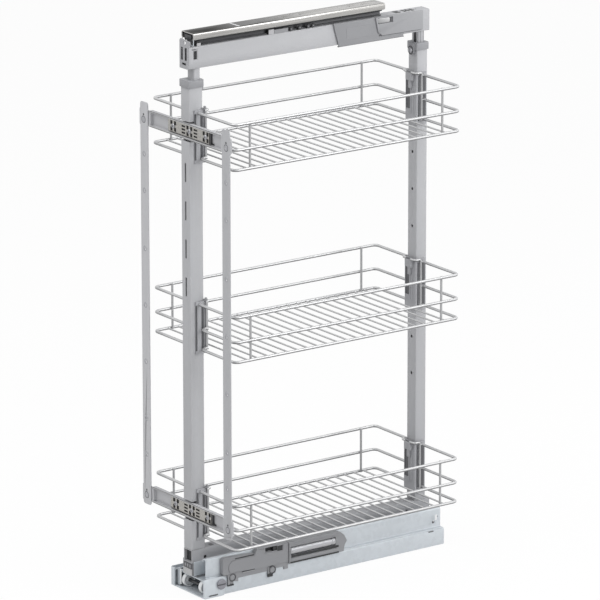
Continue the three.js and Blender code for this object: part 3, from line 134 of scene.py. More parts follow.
# The wire lacquer's last value paints shade on the faces of the wires that look down.
WIRE_LACQUER = Finish(
    "silver_wire_lacquer", "wire_silver", Surface.LACQUER,
    (0.80, 0.802, 0.806), (0.76, 0.762, 0.767), (0.28, 0.40), 0.45, 700.0, 0.006, 0.1, 0.8)
ZINC_SHEET = Finish(
    "zinc_sheet", "galvanised", Surface.ZINC,
    (0.78, 0.802, 0.822), (0.755, 0.777, 0.797), (0.34, 0.46), 0.35, 140.0, 0.004)
GREY_MOULDING = Finish(
    "grey_moulding", "moulded_grey", Surface.MOULDED,
    (0.565, 0.568, 0.58), (0.535, 0.538, 0.55), (0.46, 0.60), 0.0, 1400.0, 0.02)
PALE_MOULDING = Finish(
    "pale_grey_moulding", "moulded_grey", Surface.MOULDED,
    (0.605, 0.608, 0.62), (0.58, 0.583, 0.595), (0.42, 0.56), 0.0, 1400.0, 0.012)
COLLAR_MOULDING = Finish(
    "collar_moulding", "moulded_grey", Surface.MOULDED,
    (0.59, 0.593, 0.607), (0.56, 0.563, 0.577), (0.44, 0.58), 0.0, 1400.0, 0.015)
CHROME_PLATE = Finish(
    "chrome_plate", "chrome", Surface.DRAWN,
    (0.76, 0.75, 0.73), (0.50, 0.492, 0.48), (0.12, 0.26), 1.0, 600.0, 0.004)
# The slide's plate gets a painted dark reflection on its top face towards the front.
SLIDE_PLATE = Finish(
    "slide_plate", "chrome", Surface.PLATED,
    (0.81, 0.805, 0.795), (0.53, 0.525, 0.515), (0.20, 0.32), 0.9, 900.0, 0.004)
# A dark steel that paints the shade in the narrow gaps where the roller axles, the slide's inner members and
# its small wheels sit.
SHADOW_STEEL = Finish(
    "oiled_steel", "chrome", Surface.DRAWN,
    (0.34, 0.342, 0.35), (0.24, 0.242, 0.25), (0.30, 0.46), 0.7, 900.0, 0.005)
BRACKET_MOULDING = Finish(
    "bracket_moulding", "moulded_grey", Surface.MOULDED,
    (0.645, 0.648, 0.662), (0.615, 0.618, 0.632), (0.44, 0.58), 0.0, 1400.0, 0.015)
SHADE_MOULDING = Finish(
    "dark_grey_moulding", "black_plastic", Surface.MOULDED,
    (0.36, 0.363, 0.375), (0.31, 0.313, 0.325), (0.42, 0.58), 0.0, 1400.0, 0.02)
FITTING_STEEL = Finish(
    "fitting_steel", "galvanised", Surface.LACQUER,
    (0.70, 0.70, 0.71), (0.66, 0.66, 0.67), (0.36, 0.5), 0.35, 900.0, 0.006)
CAM_SCREW = Finish(
    "cam_screw", "screw_steel", Surface.MOULDED,
    (0.56, 0.56, 0.585), (0.52, 0.52, 0.545), (0.36, 0.5), 0.3, 900.0, 0.01)
DAMPER_TUBE = Finish(
    "damper_tube", "chrome", Surface.DRAWN,
    (0.73, 0.733, 0.745), (0.67, 0.673, 0.685), (0.30, 0.42), 0.5, 900.0, 0.004)
WHITE_ROLLER = Finish(
    "white_roller_plastic", "roller_white", Surface.MOULDED,
    (0.90, 0.905, 0.91), (0.86, 0.865, 0.872), (0.32, 0.46), 0.0, 900.0, 0.01)
PALE_HUB = Finish(
    "roller_hub_plastic", "roller_white", Surface.MOULDED,
    (0.84, 0.845, 0.85), (0.80, 0.805, 0.812), (0.36, 0.50), 0.0, 900.0, 0.01)
ZINC_SCREW = Finish(
    "zinc_screw", "screw_steel", Surface.DRAWN,
    (0.70, 0.70, 0.715), (0.58, 0.585, 0.60), (0.22, 0.40), 0.9, 1200.0, 0.006)
BLACK_MOULDING = Finish(
    "black_moulding", "black_plastic", Surface.MOULDED,
    (0.175, 0.178, 0.188), (0.13, 0.132, 0.14), (0.38, 0.55), 0.0, 1500.0, 0.02)
SLOT_FINISH = {
    "satin_grey": SATIN_STEEL,
    "wire_silver": WIRE_LACQUER,
    "galvanised": ZINC_SHEET,
    "moulded_grey": GREY_MOULDING,
    "chrome": CHROME_PLATE,
    "roller_white": WHITE_ROLLER,
    "screw_steel": ZINC_SCREW,
    "black_plastic": BLACK_MOULDING,
}


ROLLERS: tuple[tuple[str, str, Point3, float, float], ...] = (
    ("front_roller_left", "front_rollers", (-20.5, -232.0, 14.5), 11.5, 8.0),
    ("front_roller_right", "front_rollers", (28.5, -232.0, 14.5), 11.5, 8.0),
    ("rear_roller_left", "rear_rollers", (-41.5, 200.0, 15.0), 12.5, 5.0),
    ("rear_roller_right", "rear_rollers", (41.5, 200.0, 15.0), 12.5, 5.0),
)


def linear(colour: Point3) -> tuple[float, float, float, float]:
    """Turns an sRGB colour into the linear one that a shader takes.

    Args:
        colour: sRGB values from 0 to 1.

    Returns:
        Linear red, green, blue and an alpha of 1.
    """
    values = [c / 12.92 if c <= 0.04045 else ((c + 0.055) / 1.055) ** 2.4 for c in colour]
    return (values[0], values[1], values[2], 1.0)


def add_node(tree: Tree, kind: str, inputs: Inputs | None = None,
             **settings: object) -> Node:
    """Adds a node with its settings and the fixed values of its inputs.

    Args:
        tree: the tree that it goes into.
        kind: the node's type.
        inputs: values of inputs, by name or number.
        settings: values of the node's own properties.

    Returns:
        The node.
    """
    node = tree.nodes.new(kind)
    for name, value in settings.items():
        setattr(node, name, value)
    for socket, value in (inputs or {}).items():
        node.inputs[socket].default_value = value
    return node


def wire(tree: Tree, *runs: Run) -> None:
    """Links nodes; each run is a node, its output, the next node and its input."""
    for source, output, target, entry in runs:
        tree.links.new(source.outputs[output], target.inputs[entry])


class ShaderEffects:
    """The shader node groups that the finishes share, each built once."""

    def __init__(self) -> None:
        """Builds the groups."""
        self.grain = self._noise_group("fine_grain", detail=5.0, roughness=0.6)
        self.marks = self._noise_group("handling_marks", detail=3.0, roughness=0.5)
        self.streaks = self._streak_group()
        self.spangle = self._spangle_group()
        self.painted_reflection = self._painted_reflection_group()

    @staticmethod
    def _open(name: str, inputs: dict[str, float | None], outputs: Sequence[str]) -> tuple[
            Tree, Node, Node]:
        """Makes an empty shader group.

        Args:
            name: the group's name.
            inputs: the default of each float input by its label, or None for a vector.
            outputs: labels of the float outputs.

        Returns:
            The group, its input node and its output node.
        """
        group = bpy.data.node_groups.new(name, "ShaderNodeTree")
        for label, default in inputs.items():
            kind = "NodeSocketVector" if default is None else "NodeSocketFloat"
            socket = group.interface.new_socket(label, in_out="INPUT", socket_type=kind)
            if default is not None:
                socket.default_value = default
        for label in outputs:
            group.interface.new_socket(label, in_out="OUTPUT", socket_type="NodeSocketFloat")
        return group, add_node(group, "NodeGroupInput"), add_node(group, "NodeGroupOutput")

    def _noise_group(self, name: str, detail: float, roughness: float) -> Tree:
        """A noise of a given scale with adjustable contrast.

        Args:
            name: the group's name.
            detail: octaves of the noise.
            roughness: share of the finer octaves.

        Returns:
            The group, with a Value and a Height output.
        """
        group, source, result = self._open(
            name, {"Vector": None, "Scale": 500.0, "Spread": 0.2}, ["Value", "Height"])
        noise = add_node(group, "ShaderNodeTexNoise", {"Detail": detail, "Roughness": roughness})
        low = add_node(group, "ShaderNodeMath", {0: 0.5}, operation="SUBTRACT")
        high = add_node(group, "ShaderNodeMath", {0: 0.5}, operation="ADD")
        ramp = add_node(group, "ShaderNodeMapRange")
        wire(group, (source, "Vector", noise, "Vector"), (source, "Scale", noise, "Scale"),
             (source, "Spread", low, 1), (source, "Spread", high, 1), (noise, "Fac", ramp, "Value"),
             (low, 0, ramp, "From Min"), (high, 0, ramp, "From Max"), (ramp, "Result", result, "Value"),
             (noise, "Fac", result, "Height"))
        return group

    def _streak_group(self) -> Tree:
        """Long fine lines along Y, as rolling and drawing leave them.

        Returns:
            The group, with a Value output.
        """
        group, source, result = self._open(
            "drawing_lines", {"Vector": None, "Across": 1200.0, "Along": 12.0}, ["Value"])
        stretch = add_node(group, "ShaderNodeCombineXYZ")
        scaled = add_node(group, "ShaderNodeVectorMath", operation="MULTIPLY")
        noise = add_node(group, "ShaderNodeTexNoise", {"Scale": 1.0, "Detail": 2.0})
        wire(group, (source, "Across", stretch, "X"), (source, "Along", stretch, "Y"),
             (source, "Across", stretch, "Z"), (source, "Vector", scaled, 0), (stretch, 0, scaled, 1),
             (scaled, 0, noise, "Vector"), (noise, "Fac", result, "Value"))
        return group

    def _spangle_group(self) -> Tree:
        """The soft crystal patches of a zinc coat.

        Returns:
            The group, with a Value output.
        """
        group, source, result = self._open("zinc_spangle", {"Vector": None, "Scale": 140.0}, ["Value"])
        warp = add_node(group, "ShaderNodeTexNoise", {"Detail": 2.0})
        blend = add_node(group, "ShaderNodeMix", {"Factor": 0.006}, data_type="VECTOR")
        cells = add_node(group, "ShaderNodeTexVoronoi")
        tone = add_node(group, "ShaderNodeSeparateColor")
        wire(group, (source, "Vector", warp, "Vector"), (source, "Scale", warp, "Scale"),
             (source, "Vector", blend, 4), (warp, "Color", blend, 5), (blend, 1, cells, "Vector"),
             (source, "Scale", cells, "Scale"), (cells, "Color", tone, "Color"),
             (tone, "Red", result, "Value"))
        return group

    def _painted_reflection_group(self) -> Tree:
        """A mask for a painted dark reflection on the faces that look up, fading out along Y.

        Returns:
            The group, with a Value output.
        """
        group, source, result = self._open(
            "front_tarnish", {"Vector": None, "Normal": None, "Start": -0.105, "End": 0.02}, ["Value"])
        place = add_node(group, "ShaderNodeSeparateXYZ")
        way = add_node(group, "ShaderNodeSeparateXYZ")
        along = add_node(group, "ShaderNodeMapRange", {"To Min": 1.0, "To Max": 0.12},
                         interpolation_type="SMOOTHSTEP")
        upward = add_node(group, "ShaderNodeMapRange", {"From Min": 0.80, "From Max": 0.97})
        both = add_node(group, "ShaderNodeMath", operation="MULTIPLY")
        wire(group, (source, "Vector", place, 0), (source, "Normal", way, 0), (place, "Y", along, "Value"),
             (source, "Start", along, "From Min"), (source, "End", along, "From Max"),
             (way, "Z", upward, "Value"), (along, "Result", both, 0), (upward, "Result", both, 1),
             (both, 0, result, "Value"))
        return group


class FinishShop:
    """Makes each finish's material once and hands it out."""

    marks = {"Scale": 38.0, "Spread": 0.22}
    grain_spread = 0.25
    marks_share = 0.45
    drawing_along = 14.0
    coat_roughness = 0.3
    bump_strength = 0.6
    underside_shade_span = {"From Min": 0.35, "From Max": -0.45}
    underside_shade_colour = (0.34, 0.342, 0.35)
    reflection_colour = (0.125, 0.122, 0.112)

    def __init__(self) -> None:
        """Starts with the shared effects and no materials."""
        self.effects = ShaderEffects()
        self._made: dict[str, bpy.types.Material] = {}

    def material(self, finish: Finish) -> bpy.types.Material:
        """The material of a finish.

        Args:
            finish: the finish wanted.

        Returns:
            Its material, made on the first call.
        """
        if finish.name not in self._made:
            self._made[finish.name] = self._make(finish)
        return self._made[finish.name]

    def _make(self, finish: Finish) -> bpy.types.Material:
        """Builds the node network of a finish.

        Args:
            finish: the finish.

        Returns:
            The new material.
        """
        material = bpy.data.materials.new(finish.name)
        material.use_nodes = True
        tree = material.node_tree
        shader = tree.nodes["Principled BSDF"]
        shader.inputs["Metallic"].default_value = finish.metallic
        if finish.coat:
            shader.inputs["Coat Weight"].default_value = finish.coat
            shader.inputs["Coat Roughness"].default_value = self.coat_roughness
        place = add_node(tree, "ShaderNodeTexCoord")
        marks = add_node(tree, "ShaderNodeGroup", self.marks, node_tree=self.effects.marks)
        grain = add_node(tree, "ShaderNodeGroup", {"Scale": finish.grain, "Spread": self.grain_spread},
                         node_tree=self.effects.grain)
        tone = self._tone(finish, tree, place, grain)
        colour = add_node(tree, "ShaderNodeMix", {6: linear(finish.dark), 7: linear(finish.light)},
                          data_type="RGBA")
        wire(tree, (place, "Object", marks, "Vector"), (place, "Object", grain, "Vector"),
             (tone, "Value", colour, "Factor"))
        # Painted reflection: a dark tone on plated faces that look up, strongest at the front.
        if finish.surface is Surface.PLATED:
            colour = self._paint_reflection(tree, place, colour)
        # Painted shade: the finish darkens towards the faces that look down.
        if finish.underside_shade:
            colour = self._paint_underside_shade(finish, tree, colour)
        blend = add_node(tree, "ShaderNodeMix", {"Factor": self.marks_share})
        gloss = add_node(tree, "ShaderNodeMapRange", dict(zip(("To Min", "To Max"), finish.rough)))
        bump = add_node(tree, "ShaderNodeBump", {
            "Strength": self.bump_strength, "Distance": finish.relief * MM})
        wire(tree, (colour, 2, shader, "Base Color"), (marks, "Value", blend, 2), (tone, "Value", blend, 3),
             (blend, 0, gloss, "Value"), (gloss, "Result", shader, "Roughness"),
             (grain, "Height", bump, "Height"), (bump, "Normal", shader, "Normal"))
        return material

    def _paint_underside_shade(self, finish: Finish, tree: Tree, paint: Node) -> Node:
        """Paints shade on the faces that look down, darkening the finish towards them.

        Args:
            finish: the finish.
            tree: the material's tree.
            paint: the mix node of the finish's own colour.

        Returns:
            The mix node of the shaded colour.
        """
        face = add_node(tree, "ShaderNodeNewGeometry")
        way = add_node(tree, "ShaderNodeSeparateXYZ")
        amount = add_node(tree, "ShaderNodeMapRange", {**self.underside_shade_span, "To Max": finish.underside_shade},
                          interpolation_type="SMOOTHSTEP")
        shade = add_node(tree, "ShaderNodeMix", {7: linear(self.underside_shade_colour)}, data_type="RGBA")
        wire(tree, (face, "Normal", way, 0), (way, "Z", amount, "Value"),
             (amount, "Result", shade, "Factor"), (paint, 2, shade, 6))
        return shade

    def _paint_reflection(self, tree: Tree, place: Node,
                 paint: Node) -> Node:
        """Paints a dark reflection on the upper face of a plated member, strongest towards its front end.

        Args:
            tree: the material's tree.
            place: the texture coordinates.
            paint: the mix node of the plate's own colour.

        Returns:
            The mix node of the darkened colour.
        """
        shade = add_node(tree, "ShaderNodeGroup", node_tree=self.effects.painted_reflection)
        face = add_node(tree, "ShaderNodeNewGeometry")
        reflected = add_node(tree, "ShaderNodeMix", {7: linear(self.reflection_colour)}, data_type="RGBA")
        wire(tree, (place, "Object", shade, "Vector"), (face, "Normal", shade, "Normal"),
             (shade, "Value", reflected, "Factor"), (paint, 2, reflected, 6))
        return reflected

    def _tone(self, finish: Finish, tree: Tree, place: Node,
              grain: Node) -> Node:
        """The mask that runs between a finish's dark and light colour.

        Args:
            finish: the finish.
            tree: the material's tree.
            place: the texture coordinates.
            grain: the material's grain group.

        Returns:
            A node whose Value output runs from 0 to 1.
        """
        if finish.surface is Surface.ZINC:
            mask = add_node(tree, "ShaderNodeGroup", {"Scale": finish.grain}, node_tree=self.effects.spangle)
        elif finish.surface in (Surface.DRAWN, Surface.PLATED):
            mask = add_node(tree, "ShaderNodeGroup", {"Across": finish.grain, "Along": self.drawing_along},
                            node_tree=self.effects.streaks)
        else:
            return grain
        wire(tree, (place, "Object", mask, "Vector"))
        return mask


# ---------------------------------------------------------------- geometry nodes

class Recipe:
    """A Geometry Nodes tree with named inputs, built in the script."""

    def __init__(self, name: str, sizes: dict[str, tuple[str, object]]) -> None:
        """Starts a tree with a geometry input and output and its named inputs.

        Args:
            name: the tree's name.
            sizes: the kind and the default of each input by its label.
        """
        self.tree = bpy.data.node_groups.new(name, "GeometryNodeTree")
        self.inputs: dict[str, str] = {}
        self._socket("Geometry", "Geometry", "INPUT")
        self._socket("Geometry", "Geometry", "OUTPUT")
        for label, (kind, default) in {**sizes, "Finish": ("Material", None)}.items():
            socket = self._socket(label, kind, "INPUT")
            if default is not None:
                socket.default_value = default
            self.inputs[label] = socket.identifier
        self.source = self.node("NodeGroupInput")
        self.result = self.node("NodeGroupOutput")

    def _socket(self, label: str, kind: str, way: str) -> bpy.types.NodeTreeInterfaceSocket:
        """Adds a socket to the tree's interface."""
        return self.tree.interface.new_socket(label, in_out=way, socket_type=f"NodeSocket{kind}")

    def node(self, kind: str, inputs: Inputs | None = None,
             **settings: object) -> Node:
        """Adds a node, as add_node does."""
        return add_node(self.tree, kind, inputs, **settings)

    def wire(self, *runs: Run) -> None:
        """Links nodes, as wire does."""
        wire(self.tree, *runs)

    def sweep(self, line: Node, output: str) -> Node:
        """Sweeps a round section of the tree's Radius and Sides along curves.

        Args:
            line: the node that gives the curves.
            output: its output.

        Returns:
            The node that gives the smooth wires.
        """
        ring = self.node("GeometryNodeCurvePrimitiveCircle")
        sweep = self.node("GeometryNodeCurveToMesh", {"Fill Caps": True})
        smooth = self.node("GeometryNodeSetShadeSmooth")
        self.wire((self.source, "Radius", ring, "Radius"), (self.source, "Sides", ring, "Resolution"),
                  (line, output, sweep, "Curve"), (ring, "Curve", sweep, "Profile Curve"),
                  (sweep, "Mesh", smooth, "Geometry"))
        return smooth

    def close(self, last: Node, output: str) -> None:
        """Ends the tree in Realize Instances and Set Material.

        Args:
            last: the node that gives the geometry.
            output: its output.
        """
        real = self.node("GeometryNodeRealizeInstances")
        dress = self.node("GeometryNodeSetMaterial")
        self.wire((last, output, real, "Geometry"), (real, "Geometry", dress, "Geometry"),
                  (self.source, "Finish", dress, "Material"), (dress, "Geometry", self.result, "Geometry"))

    def run(self, name: str, base: bpy.types.Mesh, values: dict[str, object]) -> Object:
        """Runs the tree on a mesh and keeps the result as a plain object.

        Args:
            name: the new object's name.
            base: the mesh that the tree starts from.
            values: a value for each named input.

        Returns:
            An object with the tree's result and no modifier.
        """
        obj = bpy.data.objects.new(name, base)
        bpy.context.scene.collection.objects.link(obj)
        modifier = obj.modifiers.new("made", "NODES")
        modifier.node_group = self.tree
        for label, value in values.items():
            modifier[self.inputs[label]] = value
        return freeze(obj)


def freeze(obj: Object) -> Object:
    """Replaces an object's mesh by its evaluated one and removes its modifiers.

    Args:
        obj: an object with modifiers.

    Returns:
        The same object.
    """
    bpy.context.view_layer.update()
    graph = bpy.context.evaluated_depsgraph_get()
    mesh = bpy.data.meshes.new_from_object(
        obj.evaluated_get(graph), preserve_all_data_layers=True, depsgraph=graph)
    obj.modifiers.clear()
    obj.data = mesh
    mesh.name = obj.name
    return obj


def round_wire_recipe() -> Recipe:
    """A round wire along every edge path of the base mesh.

    Returns:
        The tree.
    """
    recipe = Recipe("round_wire", {"Radius": ("Float", 0.002), "Sides": ("Int", 12)})
    path = recipe.node("GeometryNodeMeshToCurve")
    recipe.wire((recipe.source, "Geometry", path, "Mesh"))
    recipe.close(recipe.sweep(path, "Curve"), "Geometry")
    return recipe


def grille_recipe() -> Recipe:
    """Evenly spaced straight cross wires from a start point.

    Returns:
        The tree.
    """
    recipe = Recipe("cross_wires", {
        "Count": ("Int", 21), "Start": ("Vector", (0.0, 0.0, 0.0)), "Pitch": ("Vector", (0.0, 0.02, 0.0)),
        "Reach": ("Vector", (0.1, 0.0, 0.0)), "Radius": ("Float", 0.0015), "Sides": ("Int", 10)})
    row = recipe.node("GeometryNodeMeshLine")
    back = recipe.node("ShaderNodeVectorMath", operation="SCALE")
    back.inputs["Scale"].default_value = -1.0
    line = recipe.node("GeometryNodeCurvePrimitiveLine")
    place = recipe.node("GeometryNodeInstanceOnPoints")
    real = recipe.node("GeometryNodeRealizeInstances")
    source = recipe.source
    recipe.wire((source, "Count", row, "Count"), (source, "Start", row, "Start Location"),
                (source, "Pitch", row, "Offset"), (source, "Reach", back, 0), (back, "Vector", line, "Start"),
                (source, "Reach", line, "End"), (row, "Mesh", place, "Points"),
                (line, "Curve", place, "Instance"), (place, "Instances", real, "Geometry"))
    recipe.close(recipe.sweep(real, "Geometry"), "Geometry")
    return recipe


def copies_recipe() -> Recipe:
    """One copy of a small part at every point of the base mesh.

    Returns:
        The tree.
    """
    recipe = Recipe("copies_at_points", {"Part": ("Object", None)})
    part = recipe.node("GeometryNodeObjectInfo")
    place = recipe.node("GeometryNodeInstanceOnPoints")
    recipe.wire((recipe.source, "Part", part, "Object"), (recipe.source, "Geometry", place, "Points"),
                (part, "Geometry", place, "Instance"))
    recipe.close(place, "Instances")
    return recipe


# ---------------------------------------------------------------- mesh bench

Part = tuple[Object, Finish]


@dataclass(frozen=True)
class Blocks:
    """A small part made of blocks.

    Args:
        name: the part's name.
        finish: its finish.
        bevel: width of its eased edges in millimetres.
        boxes: two corners of each block.
    """

    name: str
    finish: Finish
    bevel: float
    boxes: tuple[Box, ...]


class Bench:
    """Makes meshes in millimetres and seats finished pieces on their bodies."""

    sharp = math.radians(35)
    flat = math.radians(1.0)
    weld = 2e-6

    def __init__(self, shop: FinishShop) -> None:
        """Keeps the finishes and builds the shared trees.

        Args:
            shop: where materials come from.
        """
        self.shop = shop
        self.round_wire = round_wire_recipe()
        self.grille = grille_recipe()
        self.copies = copies_recipe()
        record = frame["record"]
        self.node_body = {
            node: body for body, nodes in record["behaviour"]["bodies"].items() for node in nodes}
        self.node_slot = {part["node"]: part["material_slot"] for part in record["subparts"]}
        self.replaced: set[str] = set()

    # -- meshes

    @staticmethod
    def path_mesh(name: str, paths: Iterable[Sequence[Point3]]) -> bpy.types.Mesh:
        """A mesh of edges along open paths.

        Args:
            name: the mesh's name.
            paths: the points of each path, in millimetres.

        Returns:
            The mesh.
        """
        points: list[Vector] = []
        edges: list[tuple[int, int]] = []
        for path in paths:
            first = len(points)
            points.extend(Vector(p) * MM for p in path)
            edges.extend((first + i, first + i + 1) for i in range(len(path) - 1))
        mesh = bpy.data.meshes.new(name)
        mesh.from_pydata(points, edges, [])
        return mesh

    @staticmethod
    def new_object(name: str, mesh: bpy.types.Mesh | BMesh) -> Object:
        """Links a new object with a mesh into the scene.

        Args:
            name: the object's name.
            mesh: its mesh; one under construction is made a mesh of that name and freed.

        Returns:
            The object.
        """
        if isinstance(mesh, BMesh):
            bm, mesh = mesh, bpy.data.meshes.new(name)
            bm.to_mesh(mesh)
            bm.free()
        obj = bpy.data.objects.new(name, mesh)
        bpy.context.scene.collection.objects.link(obj)
        return obj

    @staticmethod
    def prism(bm: BMesh, outline: Sequence[Point2], low: float, high: float,
              axis: Axis) -> None:
        """Adds a straight prism to a mesh under construction.

        Args:
            bm: the mesh.
            outline: its section, as (Y, Z), (X, Z) or (X, Y) for an axis of X, Y or Z.
            low: where it begins along the axis.
            high: where it ends.
            axis: the axis that it runs along.
        """
        first, last = ([bm.verts.new(axis.place(run, a, b) * MM) for a, b in outline] for run in (low, high))
        faces = [bm.faces.new(first), bm.faces.new(list(reversed(last)))]
        for i in range(len(outline)):
            j = (i + 1) % len(outline)
            faces.append(bm.faces.new((first[j], first[i], last[i], last[j])))
        bmesh.ops.recalc_face_normals(bm, faces=faces)

    @staticmethod
    def turned(bm: BMesh, profile: Sequence[Point2], centre: Point3, axis: Axis,
               segments: int, ring: bool) -> None:
        """Adds a turned body with closed ends.

        Args:
            bm: the mesh.
            profile: (radius, run) points from one end to the other; a radius of 0 is a pole.
            centre: the point on the axis that the run is measured from.
            axis: the axis that it is turned about.
            segments: steps round the axis.
            ring: whether the profile closes on itself round a hole.
        """
        rings: list[list[bmesh.types.BMVert]] = []
        for radius, run in profile:
            round_it = []
            for i in range(segments if radius else 1):
                angle = 2 * math.pi * i / segments
                offset = axis.place(run, radius * math.cos(angle), radius * math.sin(angle))
                round_it.append(bm.verts.new((Vector(centre) + offset) * MM))
            rings.append(round_it)
        faces = []
        following = [*rings[1:], rings[0]] if ring else rings[1:]
        for low, high in zip(rings, following):
            for i in range(segments):
                j = (i + 1) % segments
                quad = [low[i % len(low)], low[j % len(low)], high[j % len(high)], high[i % len(high)]]
                corners = list(dict.fromkeys(quad))
                if len(corners) > 2:
                    faces.append(bm.faces.new(corners))
        for end in () if ring else (rings[0], rings[-1]):
            if len(end) > 1:
                faces.append(bm.faces.new(end))
        bmesh.ops.recalc_face_normals(bm, faces=faces)

    def _blocks(self, boxes: Iterable[Box]) -> BMesh:
        """A mesh under construction that is made of separate blocks.

        Args:
            boxes: two corners of each block.

        Returns:
            The mesh.
        """
        bm = bmesh.new()
        for one, other in boxes:
            low, high = tuple(map(min, one, other)), tuple(map(max, one, other))
            outline = [(low[0], low[1]), (high[0], low[1]), (high[0], high[1]), (low[0], high[1])]
            self.prism(bm, outline, low[2], high[2], Axis.Z)
        return bm

    def ease(self, obj: Object, bevel: float, segments: int = 2) -> Object:
        """Eases an object's edges and shades it smooth between them.

        Args:
            obj: the object.
            bevel: width of the eased edges in millimetres, or 0.
            segments: steps across each eased edge.

        Returns:
            The same object.
        """
        obj.data.shade_smooth()
        if not bevel:
            obj.data.set_sharp_from_angle(angle=self.sharp)
            return obj
        modifier = obj.modifiers.new("eased", "BEVEL")
        modifier.width = bevel * MM
        modifier.segments = segments
        modifier.limit_method = "ANGLE"
        modifier.angle_limit = self.sharp
        modifier.use_clamp_overlap = False
        modifier.harden_normals = True
        return freeze(obj)

    def cut(self, obj: Object, boxes: Iterable[Box], bevel: float | None = None) -> Object:
        """Cuts blocks out of an object.

        Args:
            obj: the object.
            boxes: two corners of each block.
            bevel: width of the edges eased after the cut in millimetres, or None to leave them.

        Returns:
            The same object.
        """
        cutter = self.new_object("cutter", self._blocks(boxes))
        modifier = obj.modifiers.new("cut", "BOOLEAN")
        modifier.object = cutter
        modifier.solver = "EXACT"
        freeze(obj)
        bpy.data.objects.remove(cutter)
        return obj if bevel is None else self.ease(obj, bevel)

    def skin(self, node: str, bevel: float) -> Object:
        """A merged copy of a CAD node with eased edges.

        Args:
            node: the CAD node's name.
            bevel: width of the eased edges in millimetres.

        Returns:
            The new object, named after the node.
        """
        bm = bmesh.new()
        bm.from_mesh(frame["nodes"][node].data)
        bmesh.ops.remove_doubles(bm, verts=bm.verts, dist=self.weld)
        bmesh.ops.dissolve_limit(bm, angle_limit=self.flat, verts=bm.verts, edges=bm.edges)
        return self.ease(self.new_object(f"{node}_skin", bm), bevel)

    def solid(self, name: str, boxes: Iterable[Box], bevel: float = 0.0) -> Object:
        """An object made of separate blocks.

        Args:
            name: the object's name.
            boxes: two corners of each block.
            bevel: width of the eased edges in millimetres.

        Returns:
            The object.
        """
        return self.ease(self.new_object(name, self._blocks(boxes)), bevel)

    def solids(self, parts: Iterable[Blocks]) -> list[Part]:
        """The objects of parts made of blocks, each with its finish."""
        return [(self.solid(part.name, part.boxes, part.bevel), part.finish) for part in parts]

    def plate(self, name: str, outline: Sequence[Point2], span: Point2, axis: Axis, bevel: float = 0.0,
              segments: int = 2) -> Object:
        """A plate of a given outline.

        Args:
            name: the object's name.
            outline: its section, as prism() takes it.
            span: where it begins and ends along the axis.
            axis: the axis across the plate.
            bevel: width of the eased edges in millimetres.
            segments: steps across each eased edge.

        Returns:
            The object.
        """
        bm = bmesh.new()
        self.prism(bm, outline, *span, axis)
        return self.ease(self.new_object(name, bm), bevel, segments)

    def lathe(self, name: str, profile: Sequence[Point2], centre: Point3, axis: Axis, segments: int,
              ring: bool = False) -> Object:
        """A turned object, shaded smooth.

        Args:
            name: the object's name.
            profile: (radius, run) points, as turned() takes them.
            centre: the point on the axis that the run is measured from.
            axis: the axis that it is turned about.
            segments: steps round the axis.
            ring: whether the profile closes on itself round a hole.

        Returns:
            The object.
        """
        bm = bmesh.new()
        self.turned(bm, profile, centre, axis, segments, ring)
        return self.ease(self.new_object(name, bm), 0.0)

    def scatter(self, spots: Sequence[Point3], parts: Sequence[Part]) -> list[Part]:
        """Copies small parts to points.

        Args:
            spots: the points in millimetres.
            parts: the parts, made round the origin; they are removed.

        Returns:
            One object with all the copies of each part, and its finish.
        """
        made = []
        for part, finish in parts:
            base = self.path_mesh("spots", [[spot] for spot in spots])
            values = {"Part": part, "Finish": self.shop.material(finish)}
            made.append((self.copies.run(f"{part.name}_copies", base, values), finish))
            bpy.data.objects.remove(part)
        return made

    def unite(self, name: str, parts: Sequence[Part]) -> Object:
        """Joins parts at the origin into one piece in which each keeps its finish.

        Args:
            name: the piece's name.
            parts: each part with its finish; the parts are removed.

        Returns:
            The piece.
        """
        finishes = list(dict.fromkeys(finish for _, finish in parts))
        bm = bmesh.new()
        for part, finish in parts:
            first = len(bm.faces)
            bm.from_mesh(part.data)
            bm.faces.ensure_lookup_table()
            for face in bm.faces[first:]:
                face.material_index = finishes.index(finish)
            bpy.data.objects.remove(part)
        piece = self.new_object(name, bm)
        for finish in finishes:
            piece.data.materials.append(self.shop.material(finish))
        return piece

    # -- seating

    def assemble(self, name: str, parts: Sequence[Part], body: str,
                 replaces: Sequence[str] = ()) -> Object:
        """Joins finished parts and seats the piece on its body.

        Args:
            name: the piece's name.
            parts: each part with its finish, the main one first.
            body: the body that it moves with.
            replaces: CAD nodes that it stands for.

        Returns:
            The piece.
        """
        return self._settle(self.unite(name, parts), body, replaces)

    def seat(self, obj: Object, body: str, finish: Finish,
             replaces: Sequence[str] = ()) -> Object:
        """Gives a finished piece its material and seats it on its body.

        Args:
            obj: the piece.
            body: the body that it moves with.
            finish: its finish.
            replaces: CAD nodes that it stands for.

        Returns:
            The same piece.
        """
        obj.data.materials.clear()
        obj.data.materials.append(self.shop.material(finish))
        return self._settle(obj, body, replaces)

    def _settle(self, piece: Object, body: str,
                replaces: Sequence[str]) -> Object:
        """Declares a piece to the frame and reports it.

        Args:
            piece: the piece.
            body: the body that it moves with.
            replaces: CAD nodes that it stands for.

        Returns:
            The same piece.
        """
        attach(piece, body)
        if replaces:
            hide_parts(*replaces)
            self.replaced.update(replaces)
        LOG.info("%s on %s, %d faces", piece.name, body, len(piece.data.polygons))
        return piece

    def dress_node(self, node: str, bevel: float, finish: Finish | None = None) -> Object:
        """Replaces a CAD node by its eased copy in its own finish.

        Args:
            node: the CAD node's name.
            bevel: width of the eased edges in millimetres.
            finish: another finish than the node's own.

        Returns:
            The new piece.
        """
        chosen = finish or SLOT_FINISH[self.node_slot[node]]
        return self.seat(self.skin(node, bevel), self.node_body[node], chosen, [node])


